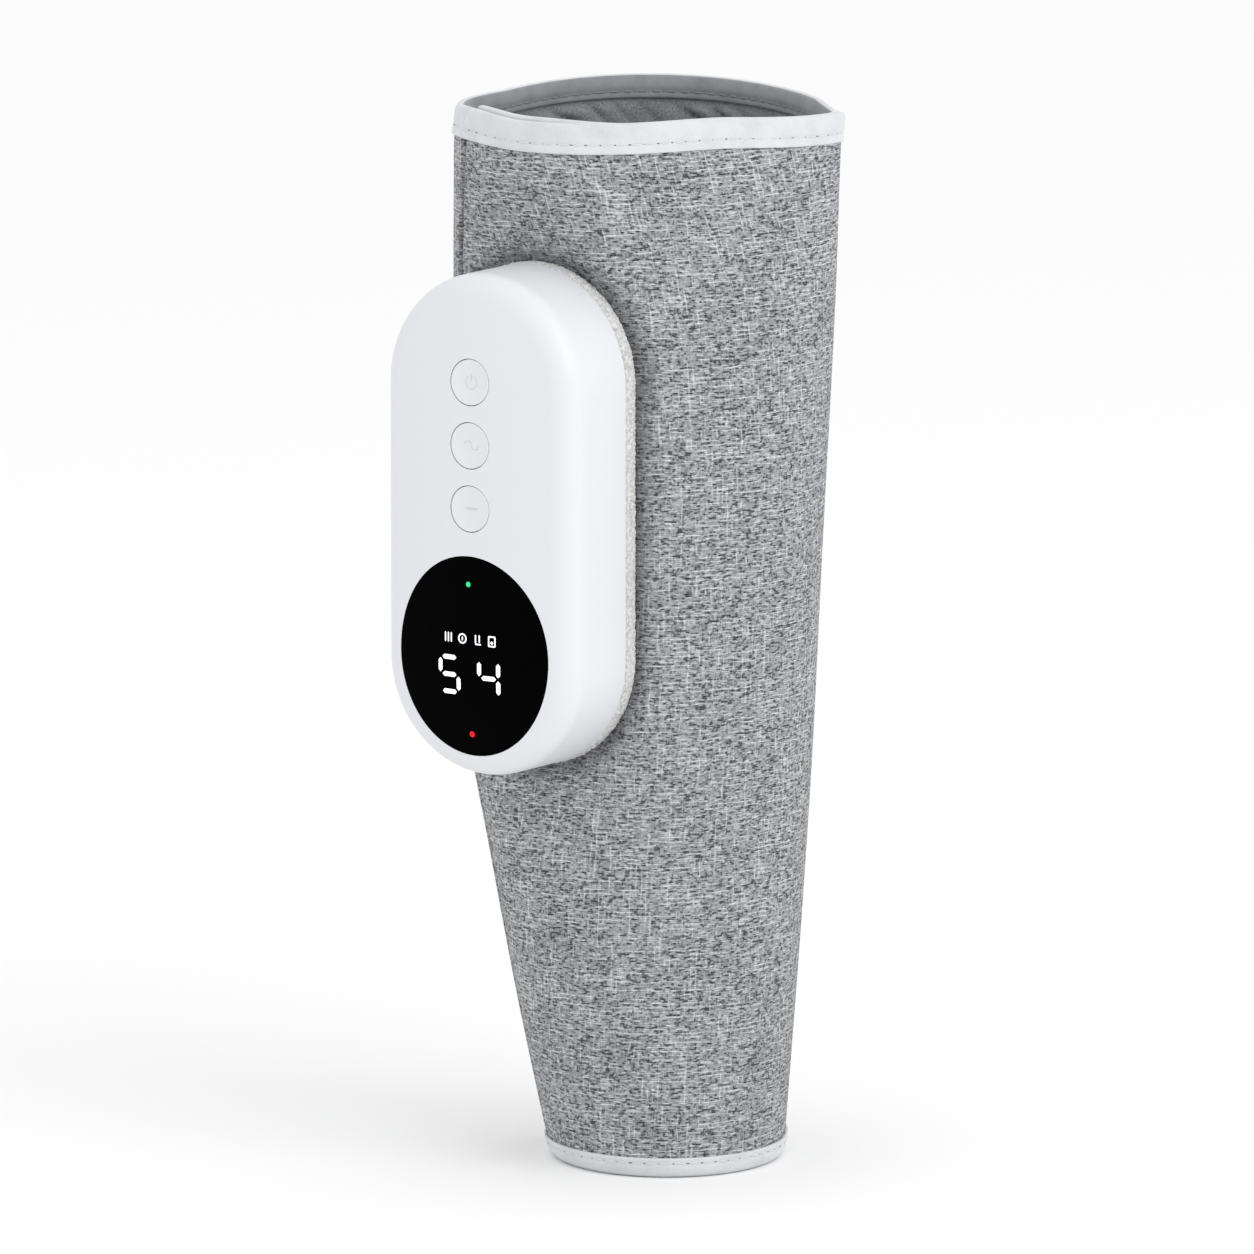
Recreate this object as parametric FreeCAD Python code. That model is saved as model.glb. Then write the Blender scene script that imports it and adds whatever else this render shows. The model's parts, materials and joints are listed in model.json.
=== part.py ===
import FreeCAD, Part
import json
import math
import os

from FreeCAD import Vector

# Heated leg massager: a padded wrap for the calf, closed into a tapered sleeve, with a control
# pod on its front. Millimetres and degrees. +Z is up and the pod faces -Y. The origin is at the
# bottom, in the middle of the footprint's box.

# Sleeve. Reaches are measured from the ankle's axis, along and across the flattened opening,
# which is turned from the pod's plane.
sleeve_height = 380.0
section_turn = 35.0
left_reach = 75.5
right_reach = 63.0
front_reach = 57.0
back_reach = 82.0
corner_pinch_share = 0.16
front_lean_share = 0.32
# Each row: height, left, right, front and back reach, and pinch of the two corners, as shares
# of the sizes above.
station_shares = (
    (0.00, 0.545, 0.675, 0.810, 0.530, 0.00),
    (0.15, 0.702, 0.742, 0.880, 0.605, 0.00),
    (0.30, 0.841, 0.800, 0.935, 0.680, 0.00),
    (0.40, 0.931, 0.838, 0.970, 0.730, 0.00),
    (0.50, 0.980, 0.871, 0.995, 0.780, 0.00),
    (0.62, 0.998, 0.905, 1.000, 0.840, 0.05),
    (0.75, 1.000, 0.940, 0.965, 0.900, 0.15),
    (0.85, 1.000, 0.965, 0.880, 0.945, 0.35),
    (0.93, 0.998, 0.981, 0.760, 0.975, 0.65),
    (1.00, 0.995, 1.000, 0.640, 1.000, 1.00),
)
points_round = 60
points_per_panel = 16
section_apart = 19.0
section_clear = 4.5

# Wall of the sleeve, from the outside in
cover_thickness = 1.2
plate_thickness = 1.3
bladder_thickness = 1.4
film_thickness = 0.3
lining_thickness = 1.2
layer_gap = 0.2
film_gap = 0.5
rim_gap = 0.4
plate_gap = 0.8
bladder_gap = 0.4
rim_run = 60.0
most_slant = 1.4

# Bindings: the outer and the inner leg of the folded tape at each rim
tape_thickness = 0.7
tape_gap = 0.3
top_tape_height = 10.8
top_tape_inner_height = 8.0
bottom_tape_height = 7.6
bottom_tape_inner_height = 6.0

# Bladders and film
bladder_margin = 62.0
bladder_split = 10.0
film_low = 122.0
film_top_margin = 76.0

# Outer wing, which closes over the back, and the flap tucked inside the front
wing_start = 3.0
wing_end = 140.0
wing_gap = 0.5
wing_seat_rise = 12.0
wing_backing_thickness = 1.3
wing_floor_gap = 1.5
wing_tape_fold_angle = 1.0
wing_tape_leg_angle = 9.0
hook_thickness = 0.7
hook_start = 108.0
hook_end = 128.0
hook_length = 100.0
hook_low = 80.0
hook_pitch = 120.0
loop_thickness = 1.0
loop_start = 85.0
loop_end = 136.0
loop_low = 60.0
loop_top_margin = 60.0
flap_start = 187.0
flap_end = 262.0
flap_low = 24.0
flap_thickness = 2.2
flap_gap = 0.5
# The wing's hinge line, outside the right-hand corner, at the bottom and at the top
hinge_low_reach = 45.3
hinge_high_reach = 64.5

# Control pod: a stadium with a domed face. Local axes: X to the right as seen from the front,
# Y up, Z outward from the sleeve.
pod_radius = 40.9
pod_half_straight = 48.9
pod_seat = 53.2
pod_to_ankle = 18.2
pod_below_top = 141.5
seat_sharpness = 36.0
seat_fade_share = 0.18
seat_margin = 8.0
gasket_thickness = 4.0
gasket_inset = 0.2
gasket_depth = 2.5
seat_gap = 0.3
dome_top = 41.6
dome_radius = 180.0
dome_edge = 9.5
pod_wall = 2.4
slide_gap = 0.25
overrun = 6.0

# Rear cover and its screws
rear_thickness = 3.0
rear_gap = 0.3
rear_lip = 1.8
rear_lip_height = 4.0
cover_screw_x = 31.5
cover_screw_y = 52.0
cover_boss_radius = 3.5
cover_screw_radius = 1.15
cover_screw_length = 11.0
cover_head_radius = 2.7
cover_head_height = 1.8
plate_screw_x = 24.0
plate_screw_y = 26.0
plate_screw_radius = 1.2
plate_head_radius = 2.6
plate_head_height = 1.8
screw_gap = 0.05
hole_gap = 0.3

# Backing plate inside the sleeve's wall
plate_radius = 28.0
plate_half_straight = 40.0

# Buttons and their switches
button_radius = 8.2
button_places = {"power": 52.2, "mode": 29.6, "level": 7.0}
button_proud = 0.2
button_travel = 0.8
flange_radius = 9.2
flange_low = 37.2
flange_high = 38.6
stem_radius = 2.2
switch_side = 6.2
switch_height = 3.4
switch_bore_gap = 0.2
plunger_radius = 1.65
plunger_gap = 0.1
plunger_top = 33.0
plunger_length = 2.6

# Display
lens_middle = -45.9
lens_half_width = 32.0
lens_half_height = 36.0
lens_thickness = 2.0
lens_gap = 0.15
ledge_width = 2.6
ledge_thickness = 2.3
module_width = 46.0
module_height = 26.0
module_depth = 8.4
light_radius = 1.5
light_top = 37.0
light_places = (-21.0, -74.0)

# Main board
board_low = 27.0
board_thickness = 1.6
board_half_width = 26.0
board_bottom = -82.0
board_top = 62.0
board_clear_radius = 35.5
post_radius = 2.6
post_x = 21.0
post_places = (58.0, -3.0)
post_screw_radius = 0.85
post_screw_reach = 33.0
post_head_radius = 2.2
post_head_height = 1.2
rest_x = 24.0
rest_y = -70.0
rest_radius = 2.5
# Each row: middle across, middle up, width, height and depth of one part on the board
board_part_sizes = (
    (-14.0, 30.0, 9.0, 9.0, 1.2),
    (14.0, 34.0, 6.0, 5.0, 1.5),
    (14.0, 24.0, 6.0, 5.0, 1.5),
    (-15.0, 12.0, 8.0, 5.0, 4.5),
    (15.0, 12.0, 7.0, 7.0, 4.0),
)

# Charging socket in the lower end of the pod
socket_width = 9.0
socket_height = 3.3
socket_length = 7.4
socket_wall = 0.35
socket_mouth_depth = 6.0
socket_tongue_width = 6.6
socket_tongue_height = 0.7
socket_tongue_length = 5.0
socket_recess = 0.4
socket_hole_gap = 0.8
socket_gap = 0.1

# Battery
cell_radius = 9.2
cell_length = 65.0
cell_pitch = 19.2
cell_low = -72.0
cell_middle = 16.8
cradle_half_width = 19.5
cradle_top = 12.0
cradle_length = 6.0
cradle_places = (-60.0, -20.0)
cradle_gap = 0.2

# Pump, valve and vibration motor, side by side above the battery
floor_gap = 0.2
row_x = 14.0
motor_radius = 9.5
motor_low = 8.0
motor_high = 30.0
motor_middle = 16.9
shaft_radius = 1.0
shaft_gap = 0.05
shaft_low = 22.0
head_top = 47.0
head_cavity_radius = 7.0
head_cavity_top = 40.0
crank_radius = 4.0
crank_offset = 1.2
crank_low = 32.0
crank_high = 36.0
nozzle_radius = 2.0
nozzle_bore = 1.1
nozzle_length = 6.0
hose_level = 13.0
valve_side = 11.0
valve_low = 28.0
valve_high = 44.0
valve_spring_room = 1.8
valve_plunger_radius = 1.55
valve_plunger_low = 25.5
valve_plunger_high = 37.0
valve_button_radius = 2.4
valve_button_height = 1.0
valve_travel = 1.2
vibration_radius = 6.0
vibration_low = -2.0
vibration_high = 16.0
vibration_shaft_radius = 0.75
vibration_shaft_low = 10.0
weight_radius = 5.4
weight_low = 17.0
weight_high = 23.0

# Air path
manifold_half_width = 4.0
manifold_half_height = 5.0
manifold_middle = 68.0
manifold_top = 18.0
barb_length = 4.0
spigot_radius = 2.5
spigot_bore = 1.4
hose_wall = 0.95
hose_gap = 0.05
hose_bend = 6.0
hose_end_gap = 0.3

# Heater leads, from the board to the film
lead_radius = 0.8
lead_x = 22.0
lead_places = (8.0, 11.0)
lead_hole_radius = 3.2

pod_middle = sleeve_height - pod_below_top
rear_top = gasket_thickness + rear_thickness
board_face = board_low + board_thickness
switch_top = board_face + switch_height
valve_bore_high = valve_plunger_high + valve_travel + valve_spring_room
core_room = plate_gap + plate_thickness + bladder_gap + bladder_thickness
core_room += film_gap + film_thickness + layer_gap
tape_build = tape_gap + tape_thickness
wing_seat = cover_thickness + layer_gap / 2 + wing_backing_thickness + 2 * tape_build + wing_gap
wing_tape_fold = wing_end + wing_tape_fold_angle
wing_tape_end = wing_tape_fold + wing_tape_fold_angle
UP = Vector(0, 0, 1)
ALONG = Vector(0, 1, 0)
ACROSS = Vector(1, 0, 0)


def smooth(share):
    """An S-shaped step: 0 up to 0, 1 from 1, 3t^2 - 2t^3 between."""
    share = min(max(share, 0), 1)
    return share * share * (3 - 2 * share)


def station(height):
    """Left, right, front and back reach and corner pinch at a height: a cubic through the stations."""
    share = height / sleeve_height
    rows = station_shares
    last = len(rows) - 1
    low = max([k for k in range(last) if rows[k][0] <= share] or [0])
    span = rows[low + 1][0] - rows[low][0]
    t = (share - rows[low][0]) / span

    def slope(row, column):
        before, after = rows[max(row - 1, 0)], rows[min(row + 1, last)]
        return (after[column] - before[column]) / (after[0] - before[0])

    sizes = (left_reach, right_reach, front_reach, back_reach, corner_pinch_share)
    values = []
    for column, size in enumerate(sizes, start=1):
        start, end = rows[low][column], rows[low + 1][column]
        cubic = start * (1 + 2 * t) * (1 - t) ** 2 + end * t * t * (3 - 2 * t)
        cubic += span * slope(low, column) * t * (1 - t) ** 2
        cubic -= span * slope(low + 1, column) * t * t * (1 - t)
        values.append(size * cubic)
    return values


def seat_share(angle):
    """How far the sleeve is drawn in under the outer wing: 1 under it and 0 away from it."""
    angle = (angle + 180) % 360 - 180
    rising = smooth((angle - wing_start) / wing_seat_rise + 1)
    falling = smooth((wing_tape_end - angle) / wing_seat_rise + 1)
    return rising * falling


def outline_radius(height, angle):
    """The outside from the middle: two half ellipses with pinched corners, flat behind the pod."""
    left, right, front, back, pinch = station(height)
    half_width, middle = (left + right) / 2, (right - left) / 2
    turned = math.radians(angle)
    c, s = math.cos(turned), math.sin(turned)
    lean = front_lean_share * pinch / corner_pinch_share
    depth = back if s > 0 else front * (1 - lean * c)
    radius = 1 / math.hypot(c / half_width, s / depth)
    steepness = abs(math.sin(math.atan2(s / depth, c / half_width)))
    radius *= 1 - pinch * steepness * (1 - steepness**2)
    turn = math.radians(section_turn)
    facing = -math.sin(turned + turn)
    if facing > 0:
        past_pod = abs(height - pod_middle) - pod_half_straight - pod_radius - seat_margin
        seat = pod_seat + middle * math.sin(turn) + seat_fade_share * max(past_pod, 0)
        ratio = radius * facing / seat
        radius /= (1 + ratio**seat_sharpness) ** (1 / seat_sharpness)
    return radius


def section_point(height, angle, inset):
    """A point of the wall, set in from the outside by a distance square to it."""
    left, right = station(height)[:2]
    turn = math.radians(section_turn)
    middle = (right - left) / 2
    radius = outline_radius(height, angle)
    rise = (outline_radius(height, angle + 1) - outline_radius(height, angle - 1)) / math.radians(2)
    radius -= inset * min(math.hypot(1, rise / radius), most_slant)
    heading = turn + math.radians(angle)
    x = pod_to_ankle + middle * math.cos(turn) + radius * math.cos(heading)
    return Vector(x, middle * math.sin(turn) + radius * math.sin(heading), height)


# Layers of the wall: each gives the inset of one surface at a height and an angle.
def sleeve_face(height, angle):
    """The outside of the sleeve's cover."""
    return wing_seat * seat_share(angle)


def wing_face(height, angle):
    """The outside of the wing's cover, which carries on from the sleeve's."""
    return 0


def lining_face(height, angle):
    """The outer side of the lining: against the cover at the rims, behind the core between them."""
    above_tape = height - bottom_tape_inner_height
    below_tape = sleeve_height - top_tape_inner_height - height
    core = smooth(above_tape / rim_run) * smooth(below_tape / rim_run)
    return sleeve_face(height, angle) + cover_thickness + rim_gap + core * core_room


def deeper(layer, by):
    """A layer moved inward."""
    return lambda height, angle: layer(height, angle) + by


def heights_between(low, high):
    """The two heights and the even levels and tape edges between them that aren't close to either."""
    even = [k * section_apart for k in range(1, math.ceil(sleeve_height / section_apart))]
    tape_low, tape_high = bottom_tape_height, sleeve_height - top_tape_height
    levels = [z for z in even if tape_low + section_clear < z < tape_high - section_clear]
    levels = [tape_low] + levels + [tape_high]
    inner = [z for z in levels if low + section_clear < z < high - section_clear]
    return [low] + inner + [high]


def ring_wire(height, layer):
    """A layer's closed outline at a height."""
    angles = [360 * k / points_round for k in range(points_round)]
    curve = Part.BSplineCurve()
    points = [section_point(height, angle, layer(height, angle)) for angle in angles]
    curve.interpolate(Points=points, PeriodicFlag=True)
    return Part.Wire([curve.toShape()])


def ring_solid(profile):
    """A ring with a closed profile of (layer, height) corners."""
    faces = []
    for (layer, low), (next_layer, high) in zip(profile, profile[1:] + profile[:1]):
        if low == high:
            wires = [ring_wire(low, layer), ring_wire(low, next_layer)]
            wires.sort(key=lambda wire: -wire.BoundBox.DiagonalLength)
            faces.append(Part.makeFace(wires, "Part::FaceMakerBullseye"))
        else:
            heights = heights_between(min(low, high), max(low, high))
            faces += Part.makeLoft([ring_wire(z, layer) for z in heights], False, False).Faces
    shell = Part.makeShell(faces)
    shell.sewShape()
    solid = Part.makeSolid(shell)
    if solid.Volume < 0:
        solid.reverse()
    return solid


def tube(layer, thickness, low, high):
    """A wall of even thickness between two heights."""
    inner = deeper(layer, thickness)
    return ring_solid([(layer, low), (layer, high), (inner, high), (inner, low)])


def filled(layer, low, high):
    """All that lies inside a layer between two heights."""
    return Part.makeLoft([ring_wire(z, layer) for z in heights_between(low, high)], True, False)


def panel(outer, inner, low, high, start, end):
    """A piece of wall between two layers, two heights and two angles."""
    steps = [start + (end - start) * k / (points_per_panel - 1) for k in range(points_per_panel)]
    wires = []
    for height in heights_between(low, high):
        sides = []
        for layer in (outer, inner):
            sides.append([section_point(height, angle, layer(height, angle)) for angle in steps])
        edges = []
        for points in (sides[0], sides[1][::-1]):
            curve = Part.BSplineCurve()
            curve.interpolate(Points=points)
            edges.append(curve.toShape())
        edges.insert(1, Part.makeLine(sides[0][-1], sides[1][-1]))
        edges.append(Part.makeLine(sides[1][0], sides[0][0]))
        wires.append(Part.Wire(edges))
    return Part.makeLoft(wires, True, False)


def box(x, y, z):
    """A box from three (low, high) pairs."""
    size = (x[1] - x[0], y[1] - y[0], z[1] - z[0])
    return Part.makeBox(*size, Vector(x[0], y[0], z[0]))


def middle_and_size(middle, size):
    """A (low, high) pair."""
    return (middle - size / 2, middle + size / 2)


def rod(radius, x, y, low, high):
    """A cylinder along the pod's outward axis."""
    return Part.makeCylinder(radius, high - low, Vector(x, y, low), UP)


def upright(radius, x, z, low, high):
    """A cylinder along the pod's length."""
    return Part.makeCylinder(radius, high - low, Vector(x, low, z), ALONG)


def stadium(radius, half_straight, low, high):
    """A plate with two straight sides and two round ends."""
    ends = [rod(radius, 0, y, low, high) for y in (-half_straight, half_straight)]
    middle = box((-radius, radius), (-half_straight, half_straight), (low, high))
    return middle.fuse(ends).removeSplitter()


def pod_form(inset, low):
    """The pod's form, drawn in all round: wall, rounded edge and dome, swept round a stadium."""
    side, edge, dome = pod_radius - inset, dome_edge - inset, dome_radius - inset
    dome_centre = dome_top - dome_radius
    edge_r = pod_radius - dome_edge
    edge_z = dome_centre + math.sqrt((dome_radius - dome_edge) ** 2 - edge_r**2)
    lean = math.asin(edge_r / (dome_radius - dome_edge))

    def on_dome(angle):
        return Vector(dome * math.sin(angle), 0, dome_centre + dome * math.cos(angle))

    def on_edge(angle):
        return Vector(edge_r + edge * math.sin(angle), 0, edge_z + edge * math.cos(angle))

    quarter = math.pi / 2
    top = on_dome(0)
    edges = [
        Part.makeLine(Vector(0, 0, low), Vector(side, 0, low)),
        Part.makeLine(Vector(side, 0, low), on_edge(quarter)),
        Part.Arc(on_edge(quarter), on_edge((quarter + lean) / 2), on_edge(lean)).toShape(),
        Part.Arc(on_dome(lean), on_dome(lean / 2), top).toShape(),
        Part.makeLine(top, Vector(0, 0, low)),
    ]
    half = Part.Face(Part.Wire(edges))
    straight = Vector(0, pod_half_straight, 0)
    end = half.revolve(Vector(0, 0, 0), UP, 180)
    side_wall = half.translated(-straight).extrude(straight * 2)
    half_turn = FreeCAD.Rotation(UP, 180)
    turned = FreeCAD.Placement(Vector(0, 0, 0), half_turn).toMatrix()
    pieces = [end.translated(straight), side_wall.transformed(turned)]
    pieces.append(end.transformed(turned).translated(-straight))
    return side_wall.fuse(pieces).removeSplitter()


def oval(margin, low, high):
    """A prism over the display's outline, grown by a margin."""
    middle = Vector(0, lens_middle, low)
    tall = middle + ALONG * (lens_half_height + margin)
    wide = middle + ACROSS * (lens_half_width + margin)
    face = Part.Face(Part.Wire([Part.Ellipse(tall, wide, middle).toShape()]))
    return face.extrude(UP * (high - low))


def corners(x, y):
    """Four places, mirrored both ways."""
    return [(i * x, j * y) for i in (-1, 1) for j in (-1, 1)]


def pod_place(shape):
    """A shape in the pod's local axes, moved to the front of the sleeve."""
    turned = FreeCAD.Rotation(ACROSS, 90)
    place = FreeCAD.Placement(Vector(0, -pod_seat, pod_middle), turned)
    return shape.transformed(place.toMatrix())


def wall_holes():
    """What passes between the pod and the sleeve: screws, spigot and leads."""
    low, high = -pod_seat, rear_top + overrun
    screw_places = corners(plate_screw_x, plate_screw_y)
    holes = [rod(plate_screw_radius + hole_gap, x, y, low, high) for x, y in screw_places]
    holes.append(rod(spigot_radius + hole_gap, 0, manifold_middle, low, high))
    lead_y = sum(lead_places) / len(lead_places)
    holes.append(rod(lead_hole_radius, lead_x, lead_y, low, high))
    return holes


def through_front_wall(solid, holes):
    """A sleeve layer with the pod's holes, which stop short of the layer's far side."""
    front = box((-pod_radius, pod_radius), (-pod_seat * 2, 0), (0, sleeve_height))
    cutters = [pod_place(hole).common(front) for hole in holes]
    return solid.cut(cutters)


nodes = {}
holes = wall_holes()
plate_hole = holes[:4]
spigot_hole = holes[4]
lead_hole = holes[5]

# Sleeve wall
wall_low = tape_build
wall_high = sleeve_height - wall_low
nodes["outer_cover"] = through_front_wall(tube(sleeve_face, cover_thickness, wall_low, wall_high), holes)
nodes["inner_lining"] = tube(lining_face, lining_thickness, wall_low, wall_high)
bladder_face = deeper(sleeve_face, cover_thickness + plate_gap + plate_thickness + bladder_gap)
bladder_middle = sleeve_height / 2
lower_bladder_top = bladder_middle - bladder_split / 2
upper_bladder_low = bladder_middle + bladder_split / 2
bladder_top = sleeve_height - bladder_margin
nodes["lower_bladder"] = tube(bladder_face, bladder_thickness, bladder_margin, lower_bladder_top)
upper_bladder = tube(bladder_face, bladder_thickness, upper_bladder_low, bladder_top)
nodes["upper_bladder"] = through_front_wall(upper_bladder, [lead_hole])
film_face = deeper(bladder_face, bladder_thickness + film_gap)
film_high = sleeve_height - film_top_margin
nodes["heating_film"] = tube(film_face, film_thickness, film_low, film_high)

# Bindings: a folded tape, with its outer leg longer than its inner leg
def binding(outer, inner, rim, inward, outer_leg, inner_leg):
    """A folded tape over a rim: outer leg, fold, inner leg and the slot that holds the wall."""
    outside = deeper(outer, -tape_build)
    outside_back = deeper(outer, -tape_gap)
    inside_back = deeper(inner, tape_gap)
    inside = deeper(inner, tape_build)
    outer_end = rim + inward * outer_leg
    inner_end = rim + inward * inner_leg
    fold = rim + inward * tape_thickness
    return ring_solid([
        (outside, outer_end), (outside, rim), (inside, rim), (inside, inner_end),
        (inside_back, inner_end), (inside_back, fold), (outside_back, fold), (outside_back, outer_end),
    ])


lining_back = deeper(lining_face, lining_thickness)
top_legs = (top_tape_height, top_tape_inner_height)
bottom_legs = (bottom_tape_height, bottom_tape_inner_height)
nodes["top_binding"] = binding(sleeve_face, lining_back, sleeve_height, -1, *top_legs)
nodes["bottom_binding"] = binding(sleeve_face, lining_back, 0, 1, *bottom_legs)

# Flap tucked inside the front
flap_face = deeper(lining_back, tape_build + flap_gap)
flap_back = deeper(flap_face, flap_thickness)
nodes["inner_flap"] = panel(flap_face, flap_back, flap_low, sleeve_height, flap_start, flap_end)

# Outer wing with its binding, and the hook and loop that hold it closed
wing_back = deeper(wing_face, cover_thickness)
backing_face = deeper(wing_back, layer_gap / 2)
backing_back = deeper(backing_face, wing_backing_thickness)
wing_low = wall_low + wing_floor_gap
nodes["wing_cover"] = panel(wing_face, wing_back, wing_low, wall_high, wing_start, wing_end)
nodes["wing_backing"] = panel(backing_face, backing_back, wing_low, wall_high, wing_start, wing_end)


def wing_sector(low, high, end):
    """The wedge between the wing's two ends, as seen from above."""
    turn = math.radians(section_turn)
    left, right = station(low)[:2]
    across = Vector(math.cos(turn), math.sin(turn), 0)
    middle = Vector(pod_to_ankle, 0, low) + across * ((right - left) / 2)
    points = [middle]
    for k in range(points_per_panel):
        heading = turn + math.radians(wing_start + (end - wing_start) * k / (points_per_panel - 1))
        points.append(middle + Vector(math.cos(heading), math.sin(heading), 0) * (back_reach * 2))
    return Part.Face(Part.makePolygon(points + [middle])).extrude(UP * (high - low))


wing_bottom_legs = [leg - wing_floor_gap for leg in bottom_legs]
wing_tapes = []
for rim, inward, legs in ((wing_floor_gap, 1, wing_bottom_legs), (sleeve_height, -1, top_legs)):
    low, high = sorted((rim, rim + inward * legs[0]))
    sector = wing_sector(low - overrun, high + overrun, wing_tape_end)
    wing_tapes.append(binding(wing_face, backing_back, rim, inward, *legs).common(sector))
edge_sides = (bottom_tape_height + tape_gap, sleeve_height - top_tape_height - tape_gap)
leg_outside = deeper(wing_face, -tape_build)
leg_outside_back = deeper(wing_face, -tape_gap)
leg_inside = deeper(backing_back, tape_build)
leg_inside_back = deeper(backing_back, tape_gap)
leg_start = wing_end - wing_tape_leg_angle
wing_tapes.append(panel(leg_outside, leg_outside_back, *edge_sides, leg_start, wing_tape_fold))
wing_tapes.append(panel(leg_inside_back, leg_inside, *edge_sides, leg_start, wing_tape_fold))
wing_tapes.append(panel(leg_outside, leg_inside, *edge_sides, wing_tape_fold, wing_tape_end))
nodes["wing_binding"] = Part.makeCompound(wing_tapes)
hook_face = deeper(backing_back, layer_gap / 2)
hook_back = deeper(hook_face, hook_thickness)
hooks = []
for low in (hook_low, hook_low + hook_pitch):
    hooks.append(panel(hook_face, hook_back, low, low + hook_length, hook_start, hook_end))
nodes["hook_strips"] = Part.makeCompound(hooks)
loop_back = deeper(sleeve_face, -layer_gap / 2)
loop_face = deeper(loop_back, -loop_thickness)
loop_high = sleeve_height - loop_top_margin
nodes["loop_patch"] = panel(loop_face, loop_back, loop_low, loop_high, loop_start, loop_end)

# Backing plate, screws and gasket that hold the pod on the sleeve
plate_top = -cover_thickness - plate_gap
plate_low = plate_top - plate_thickness
plate = stadium(plate_radius, plate_half_straight, plate_low, plate_top)
plate_bores = []
plate_screws = []
for x, y in corners(plate_screw_x, plate_screw_y):
    bore_ends = (plate_low - overrun, plate_top + overrun)
    plate_bores.append(rod(plate_screw_radius + screw_gap, x, y, *bore_ends))
    head = rod(plate_head_radius, x, y, rear_top, rear_top + plate_head_height)
    plate_screws.append(head.fuse(rod(plate_screw_radius, x, y, plate_low, rear_top)))
nodes["backing_plate"] = pod_place(plate.cut(plate_bores + [spigot_hole, lead_hole]))
nodes["plate_screws"] = pod_place(Part.makeCompound(plate_screws))
gasket = stadium(pod_radius - gasket_inset, pod_half_straight, -gasket_depth, gasket_thickness)
sleeve_form = filled(deeper(sleeve_face, -seat_gap), pod_middle - pod_half_straight * 2, wall_high)
nodes["felt_gasket"] = pod_place(gasket.cut(holes)).cut(sleeve_form)

# Front cover: a shell with bosses, posts, button holes, the display's seat and the socket's hole
front = pod_form(0, gasket_thickness).cut(pod_form(pod_wall, gasket_thickness - overrun))
trim = pod_form(pod_wall / 2, gasket_thickness)
bosses = []
pilots = []
for x, y in corners(cover_screw_x, cover_screw_y):
    bosses.append(rod(cover_boss_radius, x, y, rear_top, dome_top))
    reach = gasket_thickness + cover_head_height + cover_screw_length
    pilots.append(rod(cover_screw_radius + screw_gap, x, y, rear_top - overrun, reach + hole_gap))
for x in (-post_x, post_x):
    for y in post_places:
        bosses.append(rod(post_radius, x, y, board_face, dome_top))
        pilots.append(rod(post_screw_radius + screw_gap, x, y, board_low, post_screw_reach + hole_gap))
lens_floor = lens_thickness + lens_gap
ledge_back = pod_form(lens_floor + ledge_thickness, gasket_thickness)
ledge = pod_form(lens_floor, gasket_thickness).cut(ledge_back)
ledge = ledge.common(oval(ledge_width, board_face, dome_top + overrun))
front = front.fuse([boss.common(trim) for boss in bosses] + [ledge])
lens_seat = oval(0, board_face, dome_top + overrun).cut(pod_form(lens_floor, gasket_thickness))
lens_opening = oval(-ledge_width, board_face, dome_top + overrun)
button_holes = []
for y in button_places.values():
    button_holes.append(rod(button_radius + slide_gap, 0, y, switch_top, dome_top + overrun))
pod_end = pod_half_straight + pod_radius
socket_middle = board_low - socket_gap - socket_height / 2
socket_hole = box(
    middle_and_size(0, socket_width + 2 * socket_hole_gap),
    (-pod_end - overrun, -pod_end + pod_wall + socket_hole_gap),
    middle_and_size(socket_middle, socket_height + 2 * socket_hole_gap),
)
front = front.cut(pilots + [lens_seat, lens_opening, socket_hole] + button_holes)
nodes["front_cover"] = pod_place(front)

# Rear cover with its lip, board rests and holes
rear_radius = pod_radius - pod_wall - rear_gap
rear = stadium(rear_radius, pod_half_straight, gasket_thickness, rear_top)
lip = stadium(rear_radius, pod_half_straight, rear_top, rear_top + rear_lip_height)
lip_room = stadium(rear_radius - rear_lip, pod_half_straight, rear_top - overrun, rear_top + overrun)
rests = [rod(rest_radius, x, rest_y, rear_top, board_low) for x in (-rest_x, rest_x)]
rear = rear.fuse([lip.cut(lip_room)] + rests)
rear_bores = []
boss_room = []
cover_screws = []
for x, y in corners(cover_screw_x, cover_screw_y):
    rear_low = gasket_thickness - overrun
    rear_bores.append(rod(cover_screw_radius + hole_gap, x, y, rear_low, rear_top + overrun))
    head_room = gasket_thickness + cover_head_height
    rear_bores.append(rod(cover_head_radius + hole_gap, x, y, rear_low, head_room))
    boss_room.append(rod(cover_boss_radius + hole_gap, x, y, rear_top, rear_top + overrun))
    head = rod(cover_head_radius, x, y, gasket_thickness, head_room)
    shank = rod(cover_screw_radius, x, y, head_room, head_room + cover_screw_length)
    cover_screws.append(head.fuse(shank))
nodes["rear_cover"] = pod_place(rear.cut(rear_bores + boss_room + holes))
nodes["cover_screws"] = pod_place(Part.makeCompound(cover_screws))

# Display
lens = pod_form(0, gasket_thickness).cut(pod_form(lens_thickness, gasket_thickness))
lens = lens.common(oval(-lens_gap, board_face, dome_top + overrun))
nodes["display_lens"] = pod_place(lens)
module = box(
    middle_and_size(0, module_width), middle_and_size(lens_middle, module_height),
    (board_face, board_face + module_depth),
)
nodes["display_module"] = pod_place(module)
lights = [rod(light_radius, 0, y, board_face, light_top) for y in light_places]
nodes["status_lights"] = pod_place(Part.makeCompound(lights))

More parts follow.
